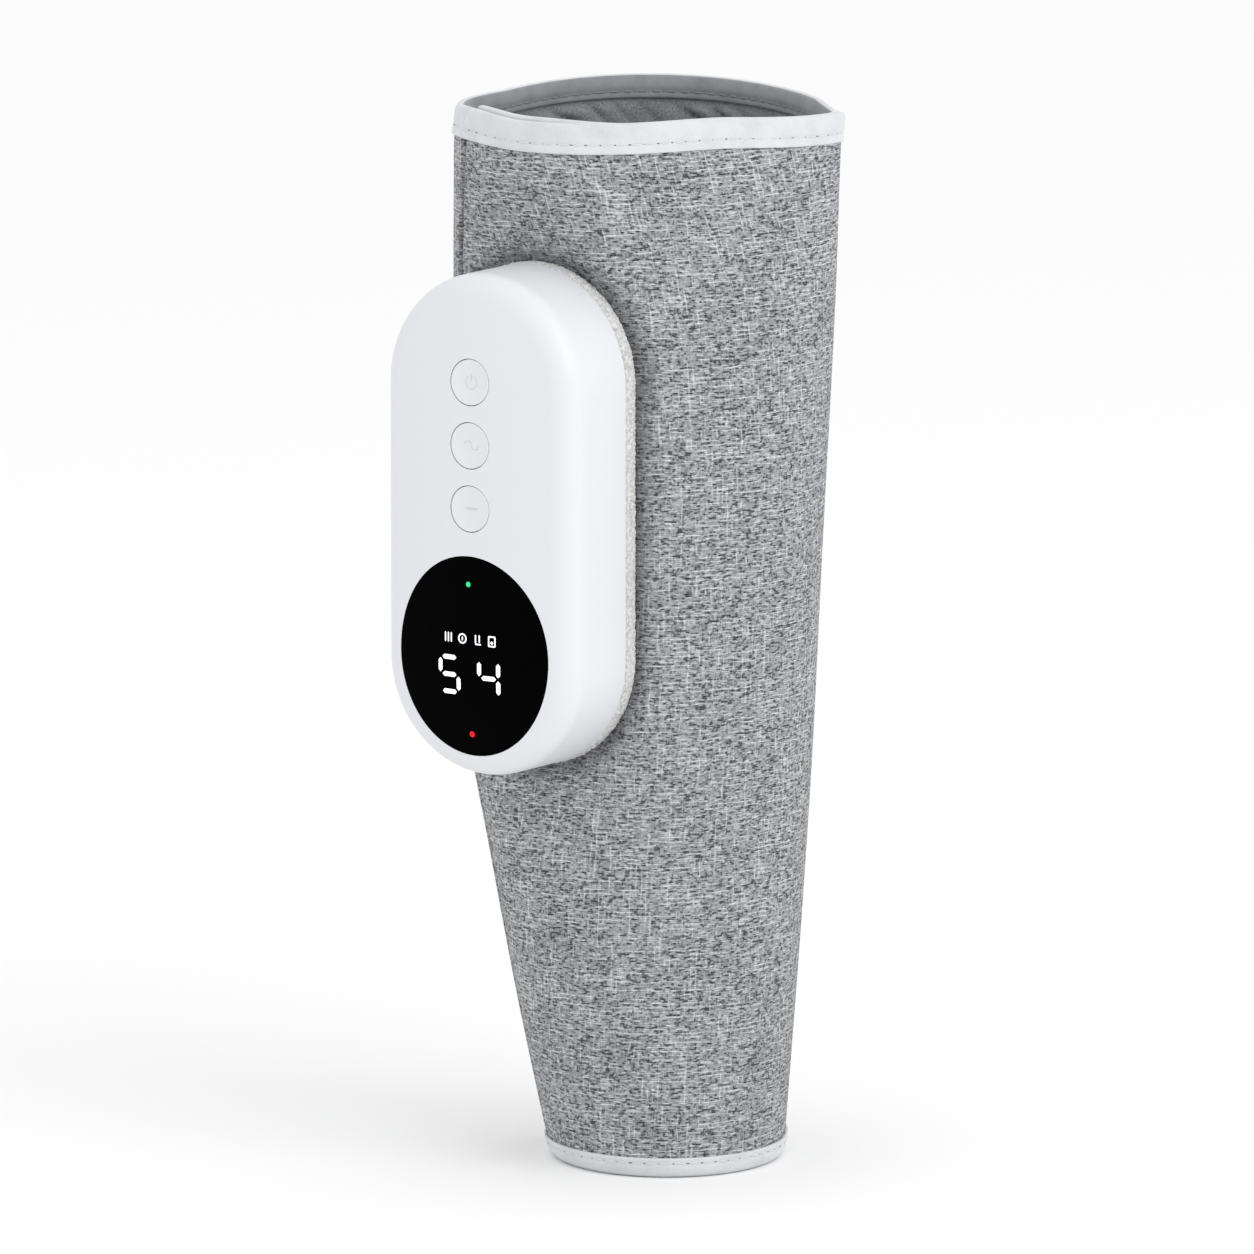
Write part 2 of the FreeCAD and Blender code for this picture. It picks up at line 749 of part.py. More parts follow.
# Buttons, their plungers and the switches
cap_form = pod_form(-button_proud, gasket_thickness)
switches = []
for name, y in button_places.items():
    cap = rod(button_radius, 0, y, flange_low, dome_top + overrun).common(cap_form)
    flange = rod(flange_radius, 0, y, flange_low, flange_high)
    stem = rod(stem_radius, 0, y, plunger_top, flange_low)
    nodes[name + "_button"] = pod_place(cap.fuse([flange, stem]))
    plunger_low = plunger_top - plunger_length
    nodes[name + "_plunger"] = pod_place(rod(plunger_radius, 0, y, plunger_low, plunger_top))
    sides = (middle_and_size(0, switch_side), middle_and_size(y, switch_side))
    body = box(*sides, (board_face, switch_top))
    bore_low = plunger_low - button_travel - switch_bore_gap
    switches.append(body.cut(rod(plunger_radius + plunger_gap, 0, y, bore_low, switch_top + overrun)))
nodes["tact_switches"] = pod_place(Part.makeCompound(switches))

# Main board with its parts and screws
board = box((-board_half_width, board_half_width), (board_bottom, board_top), (board_low, board_face))
board = board.common(stadium(board_clear_radius, pod_half_straight, board_low, board_face))
board_bores = []
board_screws = []
for x in (-post_x, post_x):
    for y in post_places:
        bore_ends = (board_low - overrun, board_face + overrun)
        board_bores.append(rod(post_screw_radius + hole_gap, x, y, *bore_ends))
        head = rod(post_head_radius, x, y, board_low - post_head_height, board_low)
        board_screws.append(head.fuse(rod(post_screw_radius, x, y, board_low, post_screw_reach)))
nodes["main_board"] = pod_place(board.cut(board_bores))
nodes["board_screws"] = pod_place(Part.makeCompound(board_screws))
board_parts = []
for x, y, width, height, depth in board_part_sizes:
    sides = (middle_and_size(x, width), middle_and_size(y, height))
    board_parts.append(box(*sides, (board_face, board_face + depth)))
nodes["board_parts"] = pod_place(Part.makeCompound(board_parts))

# Charging socket: a flat shell with a tongue, its mouth toward the lower end of the pod
socket_low = -pod_end + pod_wall + socket_recess


def flat_shell(wall, length):
    """The socket's rounded outline, drawn in by a wall, from the mouth inward."""
    radius = socket_height / 2 - wall
    half = socket_width / 2 - socket_height / 2
    ends = [upright(radius, x, socket_middle, socket_low, socket_low + length) for x in (-half, half)]
    depth = middle_and_size(socket_middle, 2 * radius)
    middle = box((-half, half), (socket_low, socket_low + length), depth)
    return middle.fuse(ends).removeSplitter()


tongue = box(
    middle_and_size(0, socket_tongue_width),
    (socket_low + socket_mouth_depth - socket_tongue_length, socket_low + socket_mouth_depth),
    middle_and_size(socket_middle, socket_tongue_height),
)
socket = flat_shell(0, socket_length).cut(flat_shell(socket_wall, socket_mouth_depth)).fuse(tongue)
nodes["charging_socket"] = pod_place(socket)

# Battery cells on their cradle
cell_places = (-cell_pitch / 2, cell_pitch / 2)
cells = [upright(cell_radius, x, cell_middle, cell_low, cell_low + cell_length) for x in cell_places]
nodes["battery_cells"] = pod_place(Part.makeCompound(cells))
saddles = []
for y in cradle_places:
    sides = ((-cradle_half_width, cradle_half_width), middle_and_size(y, cradle_length))
    saddle = box(*sides, (rear_top, cradle_top))
    for x in cell_places:
        room = upright(cell_radius + cradle_gap, x, cell_middle, y - cradle_length, y + cradle_length)
        saddle = saddle.cut(room)
    saddles.append(saddle)
nodes["battery_cradle"] = pod_place(Part.makeCompound(saddles))

# Pump: motor, head and the crank that turns in the head
pump_x = -row_x
motor = upright(motor_radius, pump_x, motor_middle, motor_low, motor_high)
motor_bore = upright(shaft_radius + shaft_gap, pump_x, motor_middle, shaft_low, motor_high + overrun)
nodes["pump_motor"] = pod_place(motor.cut(motor_bore))
head_sides = (middle_and_size(pump_x, 2 * motor_radius), (motor_high, head_top))
pump_head = box(*head_sides, middle_and_size(motor_middle, 2 * motor_radius))
pump_head = pump_head.cut(upright(head_cavity_radius, pump_x, motor_middle, motor_high, head_cavity_top))
pump_head = pump_head.fuse(upright(nozzle_radius, pump_x, hose_level, head_top, head_top + nozzle_length))
pump_bore = upright(nozzle_bore, pump_x, hose_level, head_cavity_top, head_top + nozzle_length + overrun)
nodes["pump_head"] = pod_place(pump_head.cut(pump_bore))
crank_shaft = upright(shaft_radius, pump_x, motor_middle, shaft_low + hole_gap, crank_high)
crank_disc = upright(crank_radius, pump_x + crank_offset, motor_middle, crank_low, crank_high)
nodes["pump_crank"] = pod_place(crank_disc.fuse(crank_shaft))

# Exhaust valve: body with a nozzle, and a plunger that slides in its bore
valve_middle = rear_top + floor_gap + valve_side / 2
valve_sides = (middle_and_size(row_x, valve_side), (valve_low, valve_high))
valve = box(*valve_sides, middle_and_size(valve_middle, valve_side))
valve = valve.fuse(upright(nozzle_radius, row_x, hose_level, valve_high, valve_high + nozzle_length))
valve = valve.cut([
    upright(valve_plunger_radius + shaft_gap, row_x, hose_level, valve_low, valve_bore_high),
    upright(nozzle_bore, row_x, hose_level, valve_bore_high, valve_high + nozzle_length + overrun),
])
nodes["exhaust_valve"] = pod_place(valve)
plunger = upright(valve_plunger_radius, row_x, hose_level, valve_plunger_low, valve_plunger_high)
plunger_button_low = valve_plunger_low - valve_button_height
plunger_button = upright(valve_button_radius, row_x, hose_level, plunger_button_low, valve_plunger_low)
nodes["valve_plunger"] = pod_place(plunger.fuse(plunger_button))

# Vibration motor and the half disc that it turns
vibration_middle = rear_top + floor_gap + vibration_radius
vibration = upright(vibration_radius, row_x, vibration_middle, vibration_low, vibration_high)
vibration_bore_ends = (vibration_shaft_low, vibration_high + overrun)
vibration_bore = upright(
    vibration_shaft_radius + shaft_gap, row_x, vibration_middle, *vibration_bore_ends
)
nodes["vibration_motor"] = pod_place(vibration.cut(vibration_bore))
weight = upright(weight_radius, row_x, vibration_middle, weight_low, weight_high)
half_room_depth = middle_and_size(vibration_middle, 2 * weight_radius)
half_room = box((row_x - weight_radius, row_x), (weight_low, weight_high), half_room_depth)
vibration_shaft = upright(
    vibration_shaft_radius, row_x, vibration_middle, vibration_shaft_low + hole_gap, weight_high
)
nodes["vibration_weight"] = pod_place(weight.cut(half_room).fuse(vibration_shaft))

# Air manifold with its spigot to the bladders, and two hoses
manifold = box(
    (-manifold_half_width, manifold_half_width),
    middle_and_size(manifold_middle, 2 * manifold_half_height),
    (rear_top + floor_gap, manifold_top),
)
barb_reach = manifold_half_width + barb_length
barb_end = Vector(-barb_reach, manifold_middle, hose_level)
barb = Part.makeCylinder(nozzle_radius, 2 * barb_reach, barb_end, ACROSS)
barb_bore = Part.makeCylinder(nozzle_bore, 2 * barb_reach, barb_end, ACROSS)
spigot_end = plate_low - bladder_gap + layer_gap / 2
spigot = rod(spigot_radius, 0, manifold_middle, spigot_end, rear_top + floor_gap)
spigot_room = rod(spigot_bore, 0, manifold_middle, spigot_end - overrun, hose_level)
nodes["air_manifold"] = pod_place(manifold.fuse([barb, spigot]).cut([barb_bore, spigot_room]))


def hose(side, nozzle_foot):
    """A hose from a nozzle up, round one bend and in to the manifold's barb."""
    inner_radius = nozzle_radius + hose_gap
    outer_radius = inner_radius + hose_wall
    start = Vector(side * row_x, nozzle_foot + hose_end_gap, hose_level)
    bend_low = Vector(side * row_x, manifold_middle - hose_bend, hose_level)
    bend_high = Vector(side * (row_x - hose_bend), manifold_middle, hose_level)
    end = Vector(side * (manifold_half_width + hose_end_gap), manifold_middle, hose_level)
    half_turn_share = math.sqrt(0.5)
    bend_middle = bend_low + Vector(side * (half_turn_share - 1), half_turn_share, 0) * hose_bend
    path = Part.Wire([
        Part.makeLine(start, bend_low),
        Part.Arc(bend_low, bend_middle, bend_high).toShape(),
        Part.makeLine(bend_high, end),
    ])
    walls = []
    for radius in (outer_radius, inner_radius):
        circle = Part.Wire([Part.makeCircle(radius, start, ALONG)])
        walls.append(path.makePipeShell([circle], True, False))
    return walls[0].cut(walls[1])


nodes["air_hoses"] = pod_place(Part.makeCompound([hose(-1, head_top), hose(1, valve_high)]))

# Heater leads
film_depth = plate_low - bladder_gap - bladder_thickness - film_gap + layer_gap
leads = [rod(lead_radius, lead_x, y, film_depth, board_low) for y in lead_places]
nodes["heater_leads"] = pod_place(Part.makeCompound(leads))

# Move the origin to the middle of the footprint's box and write the nodes
whole = Part.makeCompound(list(nodes.values())).optimalBoundingBox(False)
to_origin = Vector(-whole.Center.x, -whole.Center.y, 0)
os.makedirs("parts", exist_ok=True)
for name, shape in nodes.items():
    shape.translate(to_origin)
    shape.exportStep(os.path.join("parts", name + ".step"))


def in_metres(point):
    """A place in the finished frame, in metres."""
    moved = point + to_origin
    return [round(value / 1000, 6) for value in (moved.x, moved.y, moved.z)]


def pod_point(x, y, z):
    """A place in the pod's local axes, in metres in the finished frame."""
    return in_metres(Vector(x, -pod_seat - z, pod_middle + y))


turn = math.radians(section_turn)
hinge_ends = []
for reach, height in ((hinge_low_reach, 0), (hinge_high_reach, sleeve_height)):
    hinge_ends.append(Vector(pod_to_ankle + reach * math.cos(turn), reach * math.sin(turn), height))
places = {
    "to_origin": [to_origin.x, to_origin.y, to_origin.z],
    "hinge_low": in_metres(hinge_ends[0]),
    "hinge_high": in_metres(hinge_ends[1]),
    "pump_axis": pod_point(pump_x, crank_low, motor_middle),
    "vibration_axis": pod_point(row_x, weight_low, vibration_middle),
    "valve_axis": pod_point(row_x, valve_low, hose_level),
    "base_point": in_metres(section_point(0, 270, cover_thickness)),
    "ankle_axis": in_metres(Vector(pod_to_ankle, 0, 0)),
    "socket_mouth": pod_point(0, socket_low, socket_middle),
    "box_size": [whole.XLength, whole.YLength, whole.ZLength],
    "solids": {},
}
for name, shape in nodes.items():
    places["solids"][name] = [len(shape.Solids), shape.isValid(), round(shape.Volume)]
print(json.dumps(places, indent=1))
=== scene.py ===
import json
import math

import bpy
import numpy as np
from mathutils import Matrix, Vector


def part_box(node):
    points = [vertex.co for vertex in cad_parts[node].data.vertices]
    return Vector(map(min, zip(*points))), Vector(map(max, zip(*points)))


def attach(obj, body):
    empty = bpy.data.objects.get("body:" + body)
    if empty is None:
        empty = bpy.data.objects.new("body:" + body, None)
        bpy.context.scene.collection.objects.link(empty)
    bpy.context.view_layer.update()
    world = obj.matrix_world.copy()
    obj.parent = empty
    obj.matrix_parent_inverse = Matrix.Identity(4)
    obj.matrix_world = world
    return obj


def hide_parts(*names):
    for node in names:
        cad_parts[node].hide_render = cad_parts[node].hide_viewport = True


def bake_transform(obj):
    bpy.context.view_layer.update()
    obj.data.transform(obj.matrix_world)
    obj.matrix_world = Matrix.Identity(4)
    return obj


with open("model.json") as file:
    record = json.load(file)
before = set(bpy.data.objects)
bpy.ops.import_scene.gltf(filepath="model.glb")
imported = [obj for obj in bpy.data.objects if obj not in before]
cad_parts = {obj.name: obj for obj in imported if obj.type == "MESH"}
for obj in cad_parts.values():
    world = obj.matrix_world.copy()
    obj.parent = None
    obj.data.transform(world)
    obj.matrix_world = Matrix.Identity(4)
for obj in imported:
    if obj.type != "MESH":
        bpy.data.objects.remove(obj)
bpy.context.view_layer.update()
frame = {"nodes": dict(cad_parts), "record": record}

# Outer fabric: one panel of grey linen-look cloth, a plain weave of heathered yarn. It covers the
# front, turns the right-hand corner as the hinge of the outer wing and closes over the back.
MM = 0.001
leg_opening = next(m for m in frame["record"]["mounts"] if m["name"] == "leg_opening")
ankle_x, ankle_y, sleeve_height = (value / MM for value in leg_opening["pos_m"])
section_turn = math.radians(35.0)
# Left, right, front and back reach from the ankle's axis, and the pinch of the corners
reaches = np.array([75.5, 63.0, 57.0, 82.0, 0.16])
front_lean_share = 0.32
# Each row: height, then the five values above, as shares
station_shares = np.array([
    (0.00, 0.545, 0.675, 0.810, 0.530, 0.00),
    (0.15, 0.702, 0.742, 0.880, 0.605, 0.00),
    (0.30, 0.841, 0.800, 0.935, 0.680, 0.00),
    (0.40, 0.931, 0.838, 0.970, 0.730, 0.00),
    (0.50, 0.980, 0.871, 0.995, 0.780, 0.00),
    (0.62, 0.998, 0.905, 1.000, 0.840, 0.05),
    (0.75, 1.000, 0.940, 0.965, 0.900, 0.15),
    (0.85, 1.000, 0.965, 0.880, 0.945, 0.35),
    (0.93, 0.998, 0.981, 0.760, 0.975, 0.65),
    (1.00, 0.995, 1.000, 0.640, 1.000, 1.00),
])
pod_low, pod_high = (np.array(corner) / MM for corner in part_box("front_cover"))
pod_x, pod_z = (pod_low[0] + pod_high[0]) / 2, (pod_low[2] + pod_high[2]) / 2
pod_radius = (pod_high[0] - pod_low[0]) / 2
pod_half_straight = (pod_high[2] - pod_low[2]) / 2 - pod_radius
gasket_thickness = 4.0
pod_seat_y = pod_high[1] + gasket_thickness
seat_margin, seat_fade_share, seat_sharpness, most_slant = 8.0, 0.18, 36, 1.4
seam_angle, rim_lean, rim_lean_over, top_tape_width = 188.5, 2.2, 16.0, 10.4


def step(share):
    """An S-shaped step: 0 up to 0, 1 from 1, 3t^2 - 2t^3 between."""
    share = np.clip(share, 0, 1)
    return share * share * (3 - 2 * share)


def stations(height):
    """The five reaches at each height: a cubic through the rows, with central slopes."""
    rows, count = station_shares, len(station_shares)
    before = rows[np.maximum(np.arange(count) - 1, 0)]
    after = rows[np.minimum(np.arange(count) + 1, count - 1)]
    slopes = (after - before) / (after[:, :1] - before[:, :1])
    share = height / sleeve_height
    low = np.clip(np.searchsorted(rows[:, 0], share, side="right") - 1, 0, count - 2)
    span = (rows[low + 1, 0] - rows[low, 0])[..., None]
    t = (share[..., None] - rows[low, :1]) / span
    cubic = rows[low] * (1 + 2 * t) * (1 - t) ** 2 + rows[low + 1] * t * t * (3 - 2 * t)
    cubic += span * (slopes[low] * t * (1 - t) ** 2 - slopes[low + 1] * t * t * (1 - t))
    return np.moveaxis(cubic[..., 1:] * reaches, -1, 0)


def outline_radius(height, angle):
    """The outside from the section's middle: two half ellipses with pinched corners, flat behind the pod."""
    left, right, front, back, pinch = stations(height)
    half_width, middle = (left + right) / 2, (right - left) / 2
    turned = np.radians(angle)
    c, s = np.cos(turned), np.sin(turned)
    lean = front_lean_share * pinch / reaches[4]
    depth = np.where(s > 0, back, front * (1 - lean * c))
    radius = 1 / np.hypot(c / half_width, s / depth)
    steepness = np.abs(np.sin(np.arctan2(s / depth, c / half_width)))
    radius = radius * (1 - pinch * steepness * (1 - steepness**2))
    past_pod = np.abs(height - pod_z) - pod_half_straight - pod_radius - seat_margin
    seat = ankle_y - pod_seat_y + middle * math.sin(section_turn) + seat_fade_share * np.maximum(past_pod, 0)
    ratio = np.maximum(-np.sin(turned + section_turn), 0) * radius / seat
    return radius / (1 + ratio**seat_sharpness) ** (1 / seat_sharpness)


def wall_point(height, angle, inset):
    """A point of the wall in millimetres: the outline at a height and angle, set in square to itself.

    At the left-hand seam the top rim leans in, evenly over the width of its tape.
    """
    height, angle, inset = np.broadcast_arrays(*(np.asarray(v, float) for v in (height, angle, inset)))
    left, right = stations(height)[:2]
    middle = (right - left) / 2
    radius = outline_radius(height, angle)
    from_seam = (angle - seam_angle + 180) % 360 - 180
    lean = rim_lean * np.exp(-((from_seam / rim_lean_over) ** 2))
    inset = inset + lean * np.clip(1 - (sleeve_height - height) / top_tape_width, 0, 1)
    rise = (outline_radius(height, angle + 1) - outline_radius(height, angle - 1)) / math.radians(2)
    radius = radius - inset * np.minimum(np.hypot(1, rise / radius), most_slant)
    heading = section_turn + np.radians(angle)
    x = ankle_x + middle * math.cos(section_turn) + radius * np.cos(heading)
    y = ankle_y + middle * math.sin(section_turn) + radius * np.sin(heading)
    return np.stack([x, y, height], axis=-1)


def placed(name, mesh, material, thickness):
    """A mesh's piece in the scene, with its material and with a thickness added behind its faces."""
    mesh.materials.append(material)
    piece = bpy.data.objects.new(name, mesh)
    bpy.context.scene.collection.objects.link(piece)
    if thickness:
        solid = piece.modifiers.new("thickness", "SOLIDIFY")
        solid.thickness = thickness * MM
        solid.offset = -1
    return piece


def grid_object(name, points, material, uv=None, around=False, across=False, thickness=0.0):
    """A smooth mesh of quads over one or more (n, m) grids of points in millimetres.

    A grid can be closed around (its last row joins its first) or across (its last column) or both. The
    faces point along (step in n) x (step in m), and a thickness is added behind them.
    """
    index = np.arange(points[..., 0].size).reshape(points.shape[:-1])
    index = np.concatenate([index, index[..., :1, :]], axis=-2) if around else index
    index = np.concatenate([index, index[..., :1]], axis=-1) if across else index
    corners = ((slice(None, -1), slice(None, -1)), (slice(1, None), slice(None, -1)),
               (slice(1, None), slice(1, None)), (slice(None, -1), slice(1, None)))
    quads = np.stack([index[(..., *corner)] for corner in corners], axis=-1)
    mesh = bpy.data.meshes.new(name)
    mesh.from_pydata((points.reshape(-1, 3) * MM).tolist(), [], quads.reshape(-1, 4).tolist())
    mesh.polygons.foreach_set("use_smooth", np.ones(len(mesh.polygons), bool))
    if uv is not None:
        flat = np.stack([uv[corner] for corner in corners], axis=2)
        mesh.uv_layers.new(name="threads").uv.foreach_set("vector", flat.reshape(-1).astype(np.float32))
    return placed(name, mesh, material, thickness)


def along_and_up(points):
    """Thread coordinates of a grid in millimetres: lengths along its first and its second direction."""
    along = np.linalg.norm(np.diff(points, axis=0), axis=-1)
    along = np.vstack([np.zeros((1, points.shape[1])), np.cumsum(along, axis=0)])
    up = np.linalg.norm(np.diff(points, axis=1), axis=-1)
    up = np.hstack([np.zeros((points.shape[0], 1)), np.cumsum(up, axis=1)])
    middle = points.shape[0] // 2
    return np.stack([along - along[middle], up], axis=-1)


def cloth(name, points, material, thickness, inside_out=False):
    """A cloth piece: a grid of points with its thread coordinates, turned to face the other way or not."""
    order = slice(None, None, -1) if inside_out else slice(None)
    return grid_object(name, points[:, order], material, along_and_up(points)[:, order], thickness=thickness)


def linear(colour):
    """An sRGB hex colour as linear RGBA."""
    shares = [int(colour[k:k + 2], 16) / 255 for k in (1, 3, 5)]
    return [s / 12.92 if s <= 0.04045 else ((s + 0.055) / 1.055) ** 2.4 for s in shares] + [1.0]


def add(tree, kind, inputs=None, **settings):
    """Adds one shader node: its settings, and for each input a constant value or what is linked to it, a
    socket or the first socket of a node."""
    made = tree.nodes.new("ShaderNode" + kind)
    for name, value in settings.items():
        setattr(made, name, value)
    for name, value in (inputs or {}).items():
        value = value.outputs[0] if isinstance(value, bpy.types.Node) else value
        if isinstance(value, bpy.types.NodeSocket):
            tree.links.new(value, made.inputs[name])
        else:
            made.inputs[name].default_value = value
    return made


def new_material(name, colour, roughness, **sockets):
    """A material with its constant values on the shader's own sockets, and its tree and shader."""
    material = bpy.data.materials.new(name)
    material.use_nodes = True
    shader = material.node_tree.nodes["Principled BSDF"]
    shader.inputs["Base Color"].default_value = linear(colour)
    shader.inputs["Roughness"].default_value = roughness
    for socket, value in sockets.items():
        shader.inputs[socket.replace("_", " ")].default_value = value
    return material, material.node_tree, shader


def dress(tree, shader, shade, first, second, height, strength, depth, painted_shade=None):
    """Colours a cloth between two colours by a shade, and darkens it to a painted shade colour by the piece's
    valley attribute, as painted shade in its creases, seams and dips. A height gives it relief of a strength
    and a depth in millimetres."""
    colour = add(tree, "Mix", {0: shade, 6: linear(first), 7: linear(second)}, data_type="RGBA").outputs[2]
    if painted_shade:
        valley_shade = add(tree, "Attribute", attribute_name="valley_shade").outputs["Fac"]
        colour = add(tree, "Mix", {0: valley_shade, 6: colour, 7: linear(painted_shade)}, data_type="RGBA").outputs[2]
    relief = add(tree, "Bump", {"Height": height, "Strength": strength, "Distance": depth * MM})
    tree.links.new(colour, shader.inputs["Base Color"])
    tree.links.new(relief.outputs[0], shader.inputs["Normal"])


def paint_valley_shade(piece, share):
    """Writes the valley attribute: for each point of a piece's grid, the share of painted shade that darkens
    it.
    """
    valley_shade = piece.data.attributes.new("valley_shade", "FLOAT", "POINT")
    valley_shade.data.foreach_set("value", share.reshape(-1).astype(np.float32))


def linen(name, dark, light, painted_shade):
    """Plain-woven heathered linen: each yarn row and column has its own run of dark and light, so the
    eye sees short dark dashes and long pale threads along the rows, crossed by fainter upright ones.
    Where it is creased or pressed in, it is darkened with painted shade."""
    wander, wander_over = 1.1, 7.0
    cloud_over, cloud_dark, cloud_light = 28.0, 0.41, 0.47
    # The rows' places in the noise lie far apart, so that no row follows its neighbour
    row_stride, ridge_soft = 7.31, 0.1
    # Each run of yarn: the way across it and along it, its pitch, the share of the pitch that it fills,
    # the length of its dashes, the noise values between which a dash fades in, and what it adds
    runs = (("Y", "X", 0.64, 1.00, 2.5, 0.54, 0.34, -0.48), ("Y", "X", 0.74, 0.75, 3.8, 0.48, 0.64, 0.36),
            ("Y", "X", 1.60, 0.36, 16.0, 0.46, 0.58, 0.38), ("X", "Y", 0.80, 0.90, 2.0, 0.50, 0.34, -0.16),
            ("X", "Y", 0.95, 0.60, 3.4, 0.54, 0.68, 0.16), ("X", "Y", 1.90, 0.34, 12.0, 0.53, 0.64, 0.32))
    material, tree, shader = new_material(name, light, 0.95, Sheen_Weight=0.1, Specular_IOR_Level=0.2)
    uv = add(tree, "TexCoord").outputs["UV"]
    sway = add(tree, "TexNoise", {"Vector": uv, "Scale": 1 / wander_over, "Detail": 2.0},
               noise_dimensions="2D")
    sway = add(tree, "VectorMath", {0: sway.outputs["Color"], 1: (0.5, 0.5, 0.5)}, operation="SUBTRACT")
    sway = add(tree, "VectorMath", {0: sway, "Scale": wander}, operation="SCALE")
    place = add(tree, "VectorMath", {0: uv, 1: sway}, operation="ADD")
    place = add(tree, "SeparateXYZ", {0: place})
    cloud = add(tree, "TexNoise", {"Vector": uv, "Scale": 1 / cloud_over, "Detail": 2.0},
                noise_dimensions="2D")
    shade = add(tree, "MapRange", {"Value": cloud, "From Min": 0.3, "From Max": 0.7,
                                   "To Min": cloud_dark, "To Max": cloud_light})
    for across, along, pitch, filled, length, low, high, adds in runs:
        rows = add(tree, "Math", {0: place.outputs[across], 1: pitch}, operation="DIVIDE")
        row = add(tree, "Math", {0: rows}, operation="FLOOR")
        row = add(tree, "Math", {0: row, 1: row_stride}, operation="MULTIPLY")
        run = add(tree, "Math", {0: place.outputs[along], 1: length}, operation="DIVIDE")
        spot = add(tree, "CombineXYZ", {"X": run, "Y": row})
        yarn = add(tree, "TexNoise", {"Vector": spot, "Scale": 1.0, "Detail": 2.0,
                                      "Roughness": 0.6}, noise_dimensions="2D")
        dash = add(tree, "MapRange", {"Value": yarn, "From Min": low, "From Max": high,
                                      "To Max": adds})
        ridge = add(tree, "Math", {0: rows, 1: 0.5}, operation="PINGPONG")
        ridge = add(tree, "MapRange", {"Value": ridge, "From Min": 0.5 - filled / 2,
                                       "From Max": 0.5 + ridge_soft - filled / 2})
        shade = add(tree, "Math", {0: dash, 1: ridge, 2: shade}, operation="MULTIPLY_ADD")
    shade = add(tree, "Clamp", {"Value": shade})
    dress(tree, shader, shade, dark, light, shade, 0.5, 0.3, painted_shade)
    return material


# The last colour is painted shade, for the seam's groove and the cloth pressed in beside the pod
outer_linen = linen("heathered_linen", "#3a3b3e", "#d2d3d6", "#2b2c2e")
wing_edge_angle = 500.0
fabric_low, fabric_high, fabric_thickness = 3.0, 374.5, 1.0
# The last value is how far painted shade darkens the seam's groove
seam_depth, seam_over, seam_shade_share = 1.6, 1.2, 0.6
seam_shift, seam_shift_from, seam_shift_over = 0.6, 270.0, 80.0
swell, swell_over, swell_steeper, swell_counts = 0.3, 46.0, 1.7, (5, 3)
seat_facing, seat_half_turn, seat_soft_turn, seat_soft_height = 235.0, 42.0, 14.0, 20.0
# The last value is how far painted shade darkens the cloth pressed in beside the pod
pressed_in, pressed_over, pressed_shade_share = 2.4, 5.0, 0.55


def from_pod(points):
    """How far points lie outside the pod's outline, seen from the front."""
    past = np.maximum(np.abs(points[..., 2] - pod_z) - pod_half_straight, 0)
    return np.hypot(points[..., 0] - pod_x, past) - pod_radius


def soft_swell(height, angle):
    """The padding's gentle unevenness: two crossed waves, fading out towards the pod's flat seat."""
    many, few = (np.radians(angle * count) for count in swell_counts)
    waves = np.sin(many + height / swell_over) + np.sin(few - height / swell_over * swell_steeper)
    above_or_below = step((np.abs(height - pod_z) - pod_half_straight - pod_radius) / seat_soft_height)
    from_facing = np.abs((angle - seat_facing + 180) % 360 - 180)
    beside = step((from_facing - seat_half_turn) / seat_soft_turn)
    return swell / 2 * waves * np.maximum(above_or_below, beside)


heights = np.linspace(fabric_low, fabric_high, 160)[None, :]
# The seam comes a little round to the front near the top
seam_line = seam_angle + seam_shift * step((heights - seam_shift_from) / seam_shift_over)


def seam_share(angle):
    """How near the seam an angle is at each height: a bell curve, 1 on the seam's line."""
    return np.exp(-((angle - seam_line) / seam_over) ** 2)


# The columns of points stand closer together beside the seam
shares = np.append(np.linspace(0, 0.012, 8), np.linspace(0.015, 1, 272))[:, None]
angles = seam_line + (wing_edge_angle - seam_line) * shares
seam = seam_share(angles)
inset = seam_depth * seam - soft_swell(heights, angles)
points = wall_point(heights, angles, inset)
pressed = np.exp(-(np.maximum(from_pod(points), 0) / pressed_over) ** 2) * (points[..., 1] < 0)
points = wall_point(heights, angles, inset + pressed_in * pressed)
outer_fabric = cloth("outer_fabric", points, outer_linen, fabric_thickness)
# The seam's groove and the cloth pressed in beside the pod are darkened with painted shade
paint_valley_shade(outer_fabric, np.maximum(seam_shade_share * seam, pressed_shade_share * pressed))
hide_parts("outer_cover", "wing_cover")
ankle = np.array([ankle_x, ankle_y, sleeve_height / 2])


def bend_with_wing(piece):
    """Bakes the piece's placement into its points; it rides no body and does not bend."""
    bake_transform(piece)


bend_with_wing(outer_fabric)

# Back fabric: the same linen on the part of the wall that the wing closes over, drawn in there to
# make room for it. It shows at the left-hand corner, where it meets the outer fabric in a seam.
wing_tape_end, wing_seat = 142.0, 5.1
corner_share, corner_start, corner_run = 0.31, -24.0, 14.0
seat_start, seat_run, seat_fall = -4.0, 16.0, 30.0


def ring_inset(angle):
    """How far the wall is drawn in under the wing: a step down before it and a step up after it."""
    angle = (angle + 180) % 360 - 180
    at_corner = corner_share * step((angle - corner_start) / corner_run)
    past_corner = (1 - corner_share) * step((angle - seat_start) / seat_run)
    return wing_seat * (at_corner + past_corner) * step((wing_tape_end - angle) / seat_fall + 1)


back_start = -9.0
shares = np.append(np.linspace(0, 0.975, 144), np.linspace(0.98, 1, 8))[:, None]
angles = back_start + (seam_line - back_start) * shares
points = wall_point(heights, angles, ring_inset(angles) + seam_depth * seam_share(angles))
back_fabric = cloth("back_fabric", points, outer_linen, fabric_thickness)
# The seam's groove is darkened with painted shade
paint_valley_shade(back_fabric, seam_shade_share * seam_share(angles))
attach(back_fabric, "sleeve")

# Lining: plain dark grey polyester against the leg, slack enough to pucker below the rim.
# It is sewn to the outer fabric under the bindings at both rims.


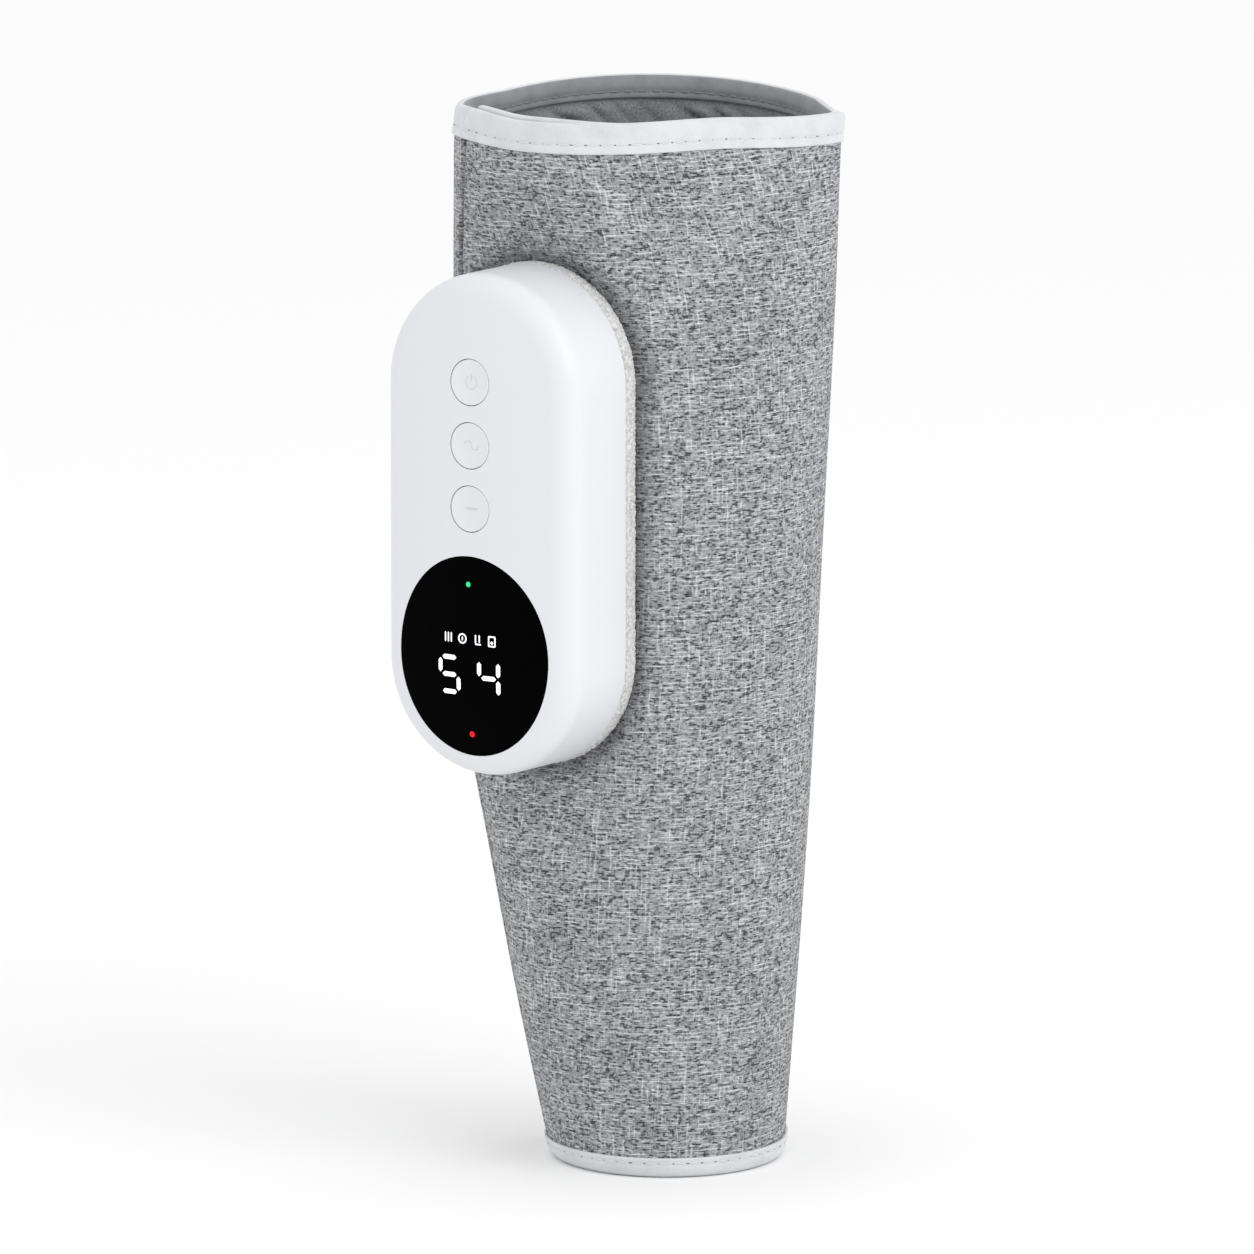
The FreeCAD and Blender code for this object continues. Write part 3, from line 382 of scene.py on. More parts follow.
def plain_cloth(name, dark, light, painted_shade):
    """Plain-woven polyester: an even fine weave, with slow shifts of tone where it has been handled,
    and painted shade along the bottoms of its folds."""
    weave, handled, handled_share = 0.8, 14.0, 0.4
    material, tree, shader = new_material(name, light, 0.9, Sheen_Weight=0.2, Specular_IOR_Level=0.25)
    uv = add(tree, "TexCoord").outputs["UV"]
    fine = add(tree, "TexNoise", {"Vector": uv, "Scale": 1 / weave, "Detail": 2.0}, noise_dimensions="2D")
    slow = add(tree, "TexNoise", {"Vector": uv, "Scale": 1 / handled, "Detail": 3.0}, noise_dimensions="2D")
    shade = add(tree, "Math", {0: slow, 1: handled_share, 2: fine}, operation="MULTIPLY_ADD")
    shade = add(tree, "MapRange", {"Value": shade, "From Min": 0.4, "From Max": 1.0})
    dress(tree, shader, shade, dark, light, fine, 0.4, 0.25, painted_shade)
    return material


# The last colour is painted shade, for the bottoms of the lining's folds
lining_cloth = plain_cloth("grey_polyester_lining", "#6d6e71", "#9b9c9f", "#323335")
lining_low, lining_folded_from, lining_high = 5.0, 286.0, 375.0
base_hem, top_hem, hem_run, core_room = 6.0, 8.0, 60.0, 4.9
cover_and_gap, lining_depth, lining_thickness = 1.6, 1.0, 0.9
pucker, pucker_apart, pucker_slope, pucker_roundness = 2.6, 8.5, 0.8, 0.6
# Each bend of the folds: its reach, its count round the sleeve, and the height over which it moves on
pucker_bends = ((2.2, 5, 14.0), (1.5, 11, -9.0))
slack_least, slack_more, slack_count, slack_over = 0.65, 0.35, 9, 17.0
slack_top, slack_top_run, slack_from, slack_run = 8.5, 4.0, 290.0, 60.0


def lining_inset(height, angle):
    """The lining's outer side: against the cover at the rims, behind the padding between them."""
    core = step((height - base_hem) / hem_run) * step((sleeve_height - top_hem - height) / hem_run)
    return ring_inset(angle) + cover_and_gap + core * core_room


def fold_share(height, angle):
    """Folds slanting down and bent by slow waves: 0 along their sharp valleys, 1 on their round tops."""
    bend = sum(reach * np.sin(np.radians(angle * count) + height / over)
               for reach, count, over in pucker_bends)
    wave = np.sin(math.pi * (height - pucker_slope * angle + bend) / pucker_apart)
    return np.abs(wave) ** pucker_roundness


def slack_share(height, angle):
    """Where the lining is slack: unevenly all round, just below the top rim and not at it."""
    uneven = slack_least + slack_more * np.sin(np.radians(angle * slack_count) + height / slack_over)
    below_rim = step((sleeve_height - slack_top - height) / slack_top_run)
    return uneven * below_rim * step((height - slack_from) / slack_run)


angles = np.linspace(0, 360, 400, endpoint=False)[:, None]
heights = np.append(np.linspace(lining_low, lining_folded_from - 1, 29),
                    np.linspace(lining_folded_from, lining_high, 91))[None, :]
folds, slack = fold_share(heights, angles), slack_share(heights, angles)
inset = lining_inset(heights, angles) + lining_depth + pucker * folds * slack
points = wall_point(heights, angles, inset)
closed = np.concatenate([points, points[:1]])
lining = grid_object("lining", points[:, ::-1], lining_cloth, along_and_up(closed)[:, ::-1], around=True,
                     thickness=lining_thickness)
# The bottoms of the slack folds are darkened with painted shade
paint_valley_shade(lining, (slack * (1 - folds) ** 2)[:, ::-1])
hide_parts("inner_lining")
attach(lining, "sleeve")

# Rim bindings: white woven tape folded over the raw edges and sewn through. The outer leg shows
# all round, and a strip of grey facing tape covers the inner leg against the leg. Its grey is partly the
# facing's own colour and partly painted shade of the sleeve's inside.


def rounded(corners, count):
    """A smooth line near a few corner points: a quadratic B-spline that keeps both ends."""
    corners = np.array(corners, float)
    middles = np.vstack([corners[:1], (corners[1:-2] + corners[2:-1]) / 2, corners[-1:]])
    t = np.linspace(0, len(middles) - 1, count)
    span = np.minimum(t.astype(int), len(middles) - 2)
    t = (t - span)[:, None]
    return middles[span] * (1 - t) ** 2 + corners[span + 1] * 2 * t * (1 - t) + middles[span + 1] * t**2


def woven_tape(name, dark, light):
    """Polyester twill tape: a fine ribbed weave along its length, with painted shade in the ribs' hollows,
    and a little soiled in slow patches.
    """
    rib, rib_stretch, soil = 0.7, 2.5, 9.0
    material, tree, shader = new_material(name, light, 0.75, Sheen_Weight=0.25, Specular_IOR_Level=0.3)
    uv = add(tree, "TexCoord").outputs["UV"]
    ribs = add(tree, "Mapping", {"Vector": uv, "Scale": (1 / rib, 1 / (rib * rib_stretch), 1)})
    ribs = add(tree, "TexNoise", {"Vector": ribs, "Scale": 1.0, "Detail": 1.0}, noise_dimensions="2D")
    slow = add(tree, "TexNoise", {"Vector": uv, "Scale": 1 / soil, "Detail": 3.0}, noise_dimensions="2D")
    # The ribs' noise darkens the colour where the relief is low: painted shade in the hollows
    shade = add(tree, "Math", {0: ribs, 1: 0.35, 2: 0.2}, operation="MULTIPLY_ADD")
    shade = add(tree, "Math", {0: slow, 1: shade}, operation="ADD", use_clamp=True)
    dress(tree, shader, shade, dark, light, ribs, 0.3, 0.15)
    return material


white_tape = woven_tape("white_twill_tape", "#bcbdc0", "#d5d6d9")
# The facing tape's grey is partly its own colour and partly painted shade of the sleeve's inside
grey_facing_and_shade_tape = woven_tape("grey_facing_tape_and_painted_shade", "#6c6d70", "#8e8f92")
# Profiles: inset from the wall's outside, and distance in from the rim
white_profile = rounded([(0.3, 10.4), (-0.7, 10.7), (-1.1, 9.8), (-1.0, 8.4), (-0.55, 7.3), (-0.95, 6.2),
                         (-1.1, 4.0), (-1.15, 1.6), (-0.9, 0.1), (0.4, -0.3), (1.5, 0.0), (2.2, 0.9)], 40)
grey_profile = rounded([(1.3, 0.1), (1.9, 0.2), (2.5, 1.0), (3.3, 2.4), (3.9, 4.2), (3.6, 5.9), (3.95, 7.0),
                        (3.9, 8.1), (3.2, 8.3)], 26)
base_profile = rounded([(0.3, 7.4), (-0.7, 7.7), (-1.05, 6.8), (-0.55, 5.4), (-0.8, 4.4), (-0.5, 2.8),
                        (0.5, 1.0), (2.0, 0.0), (3.4, 0.2), (3.9, 1.8), (3.8, 4.4), (3.5, 5.6),
                        (3.8, 6.2), (3.2, 6.6)], 40)
white_outer_leg, base_outer_leg = white_profile[:26], base_profile[:20]
outer_stitch_in, facing_stitch_in, base_stitch_in = 7.3, 5.9, 5.4
rim_drop, tape_thickness = 0.1, 0.5


def dipped(height, dips=()):
    """A rim's height or inset at each angle: an even one less its dips, each of them an S-shaped step."""
    def edge(angle):
        steps = (depth * step((angle - start) / over) for depth, start, over in dips)
        return height - sum(steps, np.zeros_like(angle))
    return edge


# Each dip has a depth, the angle where it starts and the angle over which it comes. The outer panel's
# top rim sinks along the front, most at the right-hand corner, and less behind
top_edge = dipped(sleeve_height - rim_drop, ((1.4, seam_angle, 30.0), (-0.35, 240.0, 60.0),
                                             (1.5, 310.0, 45.0), (1.2, 357.0, 10.0), (-1.8, 375.0, 30.0)))
# Where the wing closes over it, the top rim rises out of the right-hand corner
ring_top_edge = dipped(sleeve_height, ((2.8, 14.0, -16.0),))
# The outer panel's bottom rim is on the ground in front, and clear of it along the wing
base_edge = dipped(0.0, ((-1.5, 345.0, 20.0),))
level = dipped(0.0)


def edge_point(angle, edge, inward, inset, profile):
    """Points of a tape's profile at an angle, measured inward from its edge's height there."""
    height = edge(angle) + inward * profile[..., 1]
    points = wall_point(np.clip(height, 0, sleeve_height), angle, inset(angle) + profile[..., 0])
    points[..., 2] = height
    return points


def bound_edge(name, profile, path, edge, inward, inset, material):
    """A tape: its profile carried along the wall's edge."""
    points = edge_point(np.asarray(path)[:, None], edge, inward, inset, profile[None])
    points = points if inward > 0 else points[:, ::-1]
    return cloth(name, points, material, tape_thickness, inside_out=True)


thread, _, _ = new_material("white_polyester_thread", "#d3d4d7", 0.6)
grey_thread, _, _ = new_material("grey_polyester_thread", "#808184", 0.6)
dark_thread, _, _ = new_material("dark_polyester_thread", "#3d3e40", 0.6)
needle_hole, _, _ = new_material("needle_hole_shadow", "#77787c", 1.0, Specular_IOR_Level=0.0)
stitch_apart, stitch_length, stitch_radius = 5.2, 3.4, 0.34
hole_length, hole_width, hole_least, hole_most = 1.3, 0.55, 0.25, 1.1
hole_lift, hole_middle = 0.12, 0.02
look_ahead, look_out = 0.5, 0.5


def stitches(name, line, out, material):
    """A row of lockstitches along a line: rounded bars with a dark needle hole between neighbours.

    Each bar is a circle swept along its length, shrinking to nothing at both ends. Each hole is a flat
    grey oval, the painted shade of a needle's hole.
    """
    length = np.append(0, np.cumsum(np.linalg.norm(np.diff(line, axis=0), axis=1)))

    def at_lengths(values, at):
        """Values given along the line, at other lengths along it."""
        return np.stack([np.interp(at, length, column) for column in values.T], axis=-1)

    rows = []
    for shift in (0.5, 1.0):
        at = np.arange(shift * stitch_apart, length[-1] - stitch_apart, stitch_apart)
        middle, normal = at_lengths(line, at), at_lengths(out, at)
        ahead = at_lengths(line, at + look_ahead) - middle
        ahead = ahead / np.linalg.norm(ahead, axis=1, keepdims=True)
        normal = normal / np.linalg.norm(normal, axis=1, keepdims=True)
        rows.append([v[:, None, None] for v in (middle, ahead, normal, np.cross(ahead, normal))])
    middle, ahead, normal, side = rows[0]
    share = np.linspace(-1, 1, 9)[None, :, None, None]
    turn = np.linspace(0, 2 * math.pi, 8, endpoint=False)[None, None, :, None]
    thick = stitch_radius * np.sqrt(1 - share**4)
    bars = middle + ahead * share * stitch_length / 2 + thick * (normal * np.cos(turn) + side * np.sin(turn))
    middle, ahead, normal, side = rows[1]
    spread = np.array([1.0, hole_middle])[None, :, None, None]
    uneven = np.random.default_rng(5).uniform(hole_least, hole_most, (2, len(middle), 1, 1, 1))
    ovals = ahead * hole_length * uneven[0] * np.cos(turn) + side * hole_width * uneven[1] * np.sin(turn)
    ovals = middle + normal * hole_lift + spread / 2 * ovals
    return [grid_object(name, bars[:, :, ::-1], material, across=True),
            grid_object(name + "_holes", ovals[:, :, ::-1], needle_hole, across=True)]


def edge_stitches(name, path, edge, inward, inset, profile, inset_in, material=thread):
    """A row of stitches on a tape, at a distance in from its edge."""
    tape_middle = 1.0
    nearest = profile[np.argmin(np.abs(profile[:, 1] - inset_in))]
    away = np.sign(nearest[0] - tape_middle) * np.array([look_out, 0])
    line = edge_point(path, edge, inward, inset, nearest)
    return stitches(name, line, edge_point(path, edge, inward, inset, nearest + away) - line, material)


wing_tape_fold, outer_overlap, ring_overlap = 502.0, 0.6, 0.4
outer_path = np.linspace(seam_angle - outer_overlap, wing_tape_fold, 330)
ring_path = np.linspace(back_start, seam_angle + ring_overlap, 200)
front_tapes, ring_tapes = [], []
rims = ((front_tapes, outer_path, "outer", top_edge, base_edge, level),
        (ring_tapes, ring_path, "ring", ring_top_edge, level, ring_inset))
for pieces, path, place, top, base, inset in rims:
    pieces.append(bound_edge(place + "_top_tape", white_profile, path, top, -1, inset, white_tape))
    pieces.append(bound_edge(place + "_top_facing", grey_profile, path, top, -1, inset, grey_facing_and_shade_tape))
    pieces.append(bound_edge(place + "_base_tape", base_profile, path, base, 1, inset, white_tape))
    pieces += edge_stitches(place + "_top_stitches", path, top, -1, inset, white_outer_leg, outer_stitch_in)
    pieces += edge_stitches(place + "_facing_stitches", path, top, -1, inset, grey_profile,
                            facing_stitch_in, grey_thread)
    pieces += edge_stitches(place + "_base_stitches", path, base, 1, inset, base_outer_leg, base_stitch_in)
for piece in front_tapes:
    bend_with_wing(piece)
for piece in ring_tapes:
    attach(piece, "sleeve")
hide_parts("wing_binding")
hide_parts("top_binding")
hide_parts("bottom_binding")

# Wing edge tape: the same white twill tape, folded over the wing's free upright edge at the back. It is
# sewn through like the rims, and its ends lie under their tapes.
wing_tape_start, edge_tape_low, edge_tape_below_rim = 491.0, 2.0, 2.2
# Profile: share of the way to the fold, and inset from the wall's outside
edge_profile = rounded([(0.2, 0.2), (0.0, -0.8), (0.1, -1.05), (0.5, -1.05), (0.9, -1.1), (1.02, -0.8),
                        (1.05, 1.0), (1.02, 2.4), (0.9, 2.7), (0.5, 2.7), (0.1, 2.6), (0.1, 2.0)], 40)
heights = np.linspace(edge_tape_low, sleeve_height - edge_tape_below_rim, 120)[:, None]
turn = wing_tape_start + (wing_tape_fold - wing_tape_start) * edge_profile[None, :, 0]
points = wall_point(heights, turn, edge_profile[None, :, 1])
wing_edge_tape = cloth("wing_edge_tape", points, white_tape, tape_thickness, inside_out=True)
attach(wing_edge_tape, "outer_wing")

# Wing backing: grey polyester like the lining's, behind the wing's outer fabric. It is sewn in under the
# rims' and the edge's tapes.
wing_lining_start, wing_lining_end, wing_lining_inset = 355.0, 499.0, 2.3
wing_lining_low, wing_lining_high = 5.0, 372.0
angles = np.linspace(wing_lining_start, wing_lining_end, 140)[:, None]
heights = np.linspace(wing_lining_low, wing_lining_high, 90)[None, :]
points = wall_point(heights, angles, wing_lining_inset)
wing_lining = cloth("wing_lining", points, lining_cloth, lining_thickness, inside_out=True)
bend_with_wing(wing_lining)
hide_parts("wing_backing")

# Hook strips and loop patch: the fastener that closes the wing. Stiff hooks on the wing's inside
# press into the brushed loops on the back of the sleeve, and both are sewn on.


def napped(name, dark, light, fleck):
    """Hook or loop tape: a dense dark nap that scatters light, flecked where the fibres bunch."""
    material, tree, shader = new_material(name, light, 1.0, Sheen_Weight=0.6, Specular_IOR_Level=0.1)
    place = add(tree, "TexCoord").outputs["UV"]
    nap = add(tree, "TexVoronoi", {"Vector": place, "Scale": 1 / fleck, "Randomness": 0.8},
              voronoi_dimensions="2D").outputs["Distance"]
    dress(tree, shader, nap, light, dark, nap, 0.8, 0.5)
    return material


hook_tape = napped("nylon_hook_tape", "#2e2f31", "#77787b", 1.0)
loop_tape = napped("brushed_loop_tape", "#56575a", "#8b8c8f", 1.0)
patch_thickness, roll_depth, roll_over, wall_per_degree = 0.9, 0.5, 1.5, 1.2
patch_hem, patch_hem_turn = 2.2, 2.64


def patch(name, low, high, start, end, inset, facing_out, material):
    """A sewn patch between two heights and two angles, its edges rolled down to what it is sewn on."""
    angles = np.linspace(start, end, 40)[:, None]
    heights = np.linspace(low, high, 60)[None, :]
    sideways = np.minimum(angles - start, end - angles) * wall_per_degree
    edge = np.minimum(sideways, np.minimum(heights - low, high - heights))
    roll = roll_depth * (1 - step(edge / roll_over))
    points = wall_point(heights, angles, inset(angles) + (roll if facing_out else -roll))
    return cloth(name, points, material, patch_thickness, inside_out=not facing_out)


def patch_stitches(name, low, high, start, end, inset, facing_out):
    """A row of stitches round a patch, a hem in from its four edges: (angle, height) carried round."""
    left, right, base, top = start + patch_hem_turn, end - patch_hem_turn, low + patch_hem, high - patch_hem
    corners = np.array([(left, base), (right, base), (right, top), (left, top)])
    share = np.linspace(0, 1, 80, endpoint=False)[:, None]
    edges = [first + (second - first) * share
             for first, second in zip(corners, np.roll(corners, -1, axis=0))]
    angle, height = np.concatenate([*edges, corners[:1]]).T
    away = -look_out if facing_out else look_out
    line = wall_point(height, angle, inset(angle))
    return stitches(name, line, wall_point(height, angle, inset(angle) + away) - line, dark_thread)


hook_start, hook_end, hook_spans = 468.0, 488.0, ((80.0, 180.0), (200.0, 300.0))
hook_depth, loop_rise = 3.4, 1.0
# The hook strips' near side lies on the wing's backing
hook_inset = dipped(hook_depth)


def loop_inset(angle):
    """The loop patch's outer side, on the back fabric."""
    return ring_inset(angle) - loop_rise


for number, (low, high) in enumerate(hook_spans, start=1):
    name = f"hook_strip_{number}"
    hooks = patch(name, low, high, hook_start, hook_end, hook_inset, False, hook_tape)
    sewn = patch_stitches(name + "_stitches", low, high, hook_start, hook_end, hook_inset, False)
    for piece in (hooks, *sewn):
        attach(piece, "outer_wing")
    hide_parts("hook_strips")
loop_place = (60.0, 320.0, 85.0, 136.0)
loops = patch("loop_patch_pile", *loop_place, loop_inset, True, loop_tape)
sewn = patch_stitches("loop_patch_stitches", *loop_place, loop_inset, True)
for piece in (loops, *sewn):
    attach(piece, "sleeve")
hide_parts("loop_patch")

# Inner flap: the tucked-in end of the wrap, padded and lying inside the front wall. Its top edge is
# bound in white tape and stands just above the near rim at the left, with a square-cut end.
flap_start, flap_end, flap_low, flap_rise = 187.0, 262.0, 24.0, 0.3
flap_inset, flap_thickness, flap_in_tape = 4.2, 1.8, 1.0
flap_tape_past, flap_stitch_in = 0.8, 5.8
# The top edge stands above the near rim at the cut end, and sinks below it further along
flap_top = dipped(sleeve_height + flap_rise, ((0.9, flap_start, 25.0), (1.6, 215.0, 45.0)))
angles = np.linspace(flap_start, flap_end, 90)[:, None]
heights = flap_low + (flap_top(angles) - flap_in_tape - flap_low) * np.linspace(0, 1, 70)[None, :]
# Its near side lies inside the lining all the way down
inset = lining_inset(heights, angles) + flap_inset - cover_and_gap
points = wall_point(np.minimum(heights, sleeve_height), angles, inset)
points[..., 2] = heights
flap = cloth("flap", points, lining_cloth, flap_thickness)
flap_profile = rounded([(0.2, 8.2), (-0.6, 8.4), (-0.8, 7.4), (-0.4, 5.8), (-0.8, 4.6), (-0.9, 1.4),
                        (-0.6, 0.0), (0.9, -0.4), (2.4, 0.0), (2.7, 1.4), (2.6, 4.6), (2.2, 5.8),
                        (2.6, 7.4), (2.4, 8.4), (1.6, 8.2)], 40)
flap_inner_leg, flap_rim_inset = flap_profile[20:], dipped(flap_inset)
flap_path = np.linspace(flap_start - flap_tape_past, flap_end, 110)
flap_tape = bound_edge("flap_tape", flap_profile, flap_path, flap_top, -1, flap_rim_inset, white_tape)
flap_stitches = edge_stitches("flap_stitches", flap_path, flap_top, -1, flap_rim_inset, flap_inner_leg,
                              flap_stitch_in)
for piece in (flap, flap_tape, *flap_stitches):
    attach(piece, "sleeve")
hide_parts("inner_flap")

# Felt gasket: a band of off-white needled felt between the pod and the sleeve, glued to the pod.
# Its cut edge is fuzzy and a little uneven.


def felt_finish(name, dark, light):
    """Needled wool felt: matted fibres with no weave, so soft blotches and a dull rough edge."""
    blotch = 1.2
    material, tree, shader = new_material(name, light, 1.0, Sheen_Weight=0.5, Specular_IOR_Level=0.1)
    place = add(tree, "TexCoord").outputs["Object"]
    mat = add(tree, "TexNoise", {"Vector": place, "Scale": 1 / (blotch * MM), "Detail": 4.0,
                                 "Roughness": 0.7})
    shade = add(tree, "MapRange", {"Value": mat, "From Min": 0.35, "From Max": 0.6})
    dress(tree, shader, shade, dark, light, mat, 0.9, 0.6)
    return material


wool_felt = felt_finish("needled_wool_felt", "#b4b5b5", "#e6e6e5")


def pod_point(across, up, out):
    """A point in millimetres from its place on the pod: to the right, up, and out from the sleeve."""
    across, up, out = np.broadcast_arrays(across, up, out)
    return np.stack([pod_x + across, pod_seat_y - out, pod_z + up], axis=-1)


def pod_outline(count, radius):
    """Points round the pod's outline, with a straight on each side and a half circle at each end."""
    straight = 2 * pod_half_straight
    whole = 2 * straight + 2 * math.pi * pod_radius
    along = np.linspace(0, whole, count, endpoint=False)
    half = whole / 2
    side = along % half
    turn = np.where(side < straight, 0, (side - straight) / pod_radius)
    up = np.where(side < straight, side - pod_half_straight, pod_half_straight)
    across, up = radius * np.cos(turn), up + radius * np.sin(turn)
    sign = np.where(along < half, 1, -1)
    return across * sign, up * sign


# Cross-section: reach past the pod's edge, and distance out from the sleeve
felt_ring = rounded([(-3.0, 3.9), (-1.9, 3.9), (-1.1, 3.5), (-0.4, 3.3), (0.1, 2.5), (0.3, 1.2),
                     (0.3, -0.6), (0.2, -2.0), (-0.4, -2.6), (-3.0, -2.5), (-3.2, 0.5), (-3.0, 3.9)], 26)[:-1]
felt_count, felt_seat, fuzz_depth, fuzz_from = 900, 0.2, 0.2, -0.5
fuzz = np.random.default_rng(11).normal(0, fuzz_depth, (felt_count, len(felt_ring)))
reach = felt_ring[None, :, 0] + np.where(felt_ring[:, 0] > fuzz_from, fuzz, 0)
edge, beyond = (np.array(pod_outline(felt_count, pod_radius - felt_seat + out))[:, :, None] for out in (0, 1))
across, up = edge + (beyond - edge) * reach
points = pod_point(across, up, felt_ring[None, :, 1])
felt = grid_object("felt_band", points[:, ::-1], wool_felt, around=True, across=True)
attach(felt, "sleeve")
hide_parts("felt_gasket")

# Control pod: covers, display lens and socket keep their moulded shapes. The front cover is satin
# white ABS, and the lens is smoked acrylic, set flush into it.


def mottle(tree, shader, grain, low, high, smoothest, roughest):
    """Varies a surface's roughness with noise of a grain, between two values of it. Returns the noise."""
    place = add(tree, "TexCoord").outputs["Object"]
    speck = add(tree, "TexNoise", {"Vector": place, "Scale": 1 / (grain * MM), "Detail": 2.0})
    rough = add(tree, "MapRange", {"Value": speck, "From Min": low, "From Max": high,
                                   "To Min": smoothest, "To Max": roughest})
    tree.links.new(rough.outputs[0], shader.inputs["Roughness"])
    return speck


def moulded(name, colour, roughness, grain, **sockets):
    """Moulded plastic: one even colour, with a fine spark-eroded grain that blurs the highlights."""
    spread = 0.04
    material, tree, shader = new_material(name, colour, roughness, **sockets)
    speck = mottle(tree, shader, grain, 0.3, 0.7, roughness - spread, roughness + spread)
    relief = add(tree, "Bump", {"Height": speck, "Strength": 0.06, "Distance": 0.05 * MM})
    tree.links.new(relief.outputs[0], shader.inputs["Normal"])
    return material


white_abs = moulded("satin_white_abs", "#dfe0e4", 0.38, 0.6)
smoked_acrylic = moulded("smoked_acrylic", "#010102", 0.12, 0.8, Specular_IOR_Level=0.015)


def finish_node(node, material):
    """Gives a moulded piece its finish."""
    slots = frame["nodes"][node].data.materials
    slots.clear()
    slots.append(material)


finish_node("front_cover", white_abs)
finish_node("display_lens", smoked_acrylic)

# Display: lit segments and two status lights behind the lens, drawn on its face as thin lit shapes.
# Reading, pictograms and lights are generic.
dome_radius, dome_top = 180.0, gasket_thickness + pod_high[1] - pod_low[1]
shape_thickness, light_lift = 0.03, 0.05


def lit(name, colour, strength):
    """A light-emitting diode seen through smoked acrylic: an even glow with no sheen of its own."""
    material, _, shader = new_material(name, "#000000", 1.0, Specular_IOR_Level=0.0,
                                       Emission_Strength=strength)
    shader.inputs["Emission Color"].default_value = linear(colour)
    return material


def dome_out(across, up):
    """How far the pod's face stands out: a dome of one radius across, carried up its straight middle."""
    past = np.maximum(np.abs(up) - pod_half_straight, 0)
    return dome_top - dome_radius + np.sqrt(dome_radius**2 - across**2 - past**2)


def flat_shapes(name, shapes, lift, material, face=dome_out):
    """Flat shapes on the pod's face or a button's, each a list of (across, up) corners, anticlockwise."""
    corners = np.concatenate([np.asarray(shape, float) for shape in shapes])
    counts = [len(shape) for shape in shapes]
    first = np.cumsum([0] + counts[:-1])
    points = pod_point(corners[:, 0], corners[:, 1], face(corners[:, 0], corners[:, 1]) + lift)
    mesh = bpy.data.meshes.new(name)
    mesh.from_pydata((points * MM).tolist(), [], [list(range(f, f + c)) for f, c in zip(first, counts)])
    return placed(name, mesh, material, shape_thickness)


def bar(x, y, length, width, upright):
    """A six-cornered display segment with its middle at (x, y)."""
    half, point = length / 2, width / 2
    inner = half - point
    corners = [(-half, 0), (-inner, -point), (inner, -point), (half, 0), (inner, point), (-inner, point)]
    return [(x - v, y + u) if upright else (x + u, y + v) for u, v in corners]


def disc(x, y, radius, count=20):
    """A round spot with its middle at (x, y)."""
    turn = np.linspace(0, 2 * math.pi, count, endpoint=False)
    return np.stack([x + radius * np.cos(turn), y + radius * np.sin(turn)], axis=-1)


def arc(x, y, radius, width, start, end, pieces=10):
    """A curved stroke about (x, y), as a row of four-cornered pieces."""
    turn = np.radians(np.linspace(start, end, pieces + 1))
    ring = np.stack([np.cos(turn), np.sin(turn)], axis=-1)
    inner, outer = ring * (radius - width / 2) + (x, y), ring * (radius + width / 2) + (x, y)
    return [[inner[k], outer[k], outer[k + 1], inner[k + 1]] for k in range(pieces)]


white_glow = lit("white_segment_glow", "#f4f6fa", 1.6)
green_glow = lit("green_status_glow", "#2fd08a", 1.5)
red_glow = lit("red_status_glow", "#e5202c", 1.5)
digit_up, half_wide, half_high = -53.0, 4.0, 6.2
segment_width, upright_gap, level_gap = 1.7, 1.1, 1.8
# Each segment of a digit by its usual letter: its middle, and whether it stands upright
segment_places = {"a": (0, half_high, False), "g": (0, 0, False), "d": (0, -half_high, False),
                  "f": (-half_wide, half_high / 2, True), "b": (half_wide, half_high / 2, True),
                  "c": (half_wide, -half_high / 2, True)}
segments = []
for digit_across, shown in ((-9.0, "afgcd"), (8.0, "fgbc")):
    for letter in shown:
        x, y, upright = segment_places[letter]
        length = half_high - upright_gap if upright else 2 * half_wide - level_gap
        segments.append(bar(digit_across + x, digit_up + y, length, segment_width, upright))
# Four pictograms: heat waves, a ring, a leg and a battery
icon_up, icon_places, icon_stroke = -39.6, (-9.4, -3.2, 3.2, 9.4), 0.55
heat, ring_icon, leg_icon, battery = icon_places
# Each bar of a pictogram: its middle, its length and whether it stands upright
icon_bars = ((heat - 1.3, 0.0, 3.6, True), (heat, 0.0, 3.6, True), (heat + 1.3, 0.0, 3.6, True),
             (ring_icon, 0.0, 1.6, True), (leg_icon - 0.7, 0.3, 3.2, True),
             (leg_icon + 0.4, -1.5, 2.6, False), (leg_icon + 0.9, 0.5, 2.8, True),
             (battery - 1.3, 0.0, 3.8, True), (battery + 1.3, 0.0, 3.8, True),
             (battery, -1.7, 3.0, False), (battery, 1.7, 3.0, False))
segments += [bar(x, icon_up + y, length, icon_stroke, upright) for x, y, length, upright in icon_bars]
segments += arc(ring_icon, icon_up, 1.6, icon_stroke, 0, 360, 18)
segments.append(bar(battery, icon_up - 0.5, 1.4, 1.2, False))
lights = [flat_shapes("display_segments", segments, light_lift, white_glow),
          flat_shapes("green_light", [disc(-0.6, -20.0, 0.95)], light_lift, green_glow),
          flat_shapes("red_light", [disc(-0.2, -74.0, 1.05)], light_lift, red_glow)]
for piece in lights:
    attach(piece, "sleeve")

# Buttons: three caps of the same satin ABS that slide in holes of the front cover. Each has a rounded
# rim round a shallow dish, with a pale moulded mark, a generic sign for power, mode or level.
mark_white, _, _ = new_material("pale_moulded_mark", "#d2d3d7", 0.5)
mark_stroke, mark_lift, button_proud = 0.5, 0.03, 0.2
button_radius, dish_depth, cap_rim, cap_depth = 8.2, 1.4, 0.6, 3.0
dish_rows, dish_middle = 14, 0.02


def button_face(middle):
    """The top of a button with its middle at a height: proud of the pod's face at the rim, and dished."""
    def face(across, up):
        share = np.hypot(across, up - middle) / button_radius
        return dome_out(across, up) + button_proud - dish_depth * (1 - share**2)
    return face


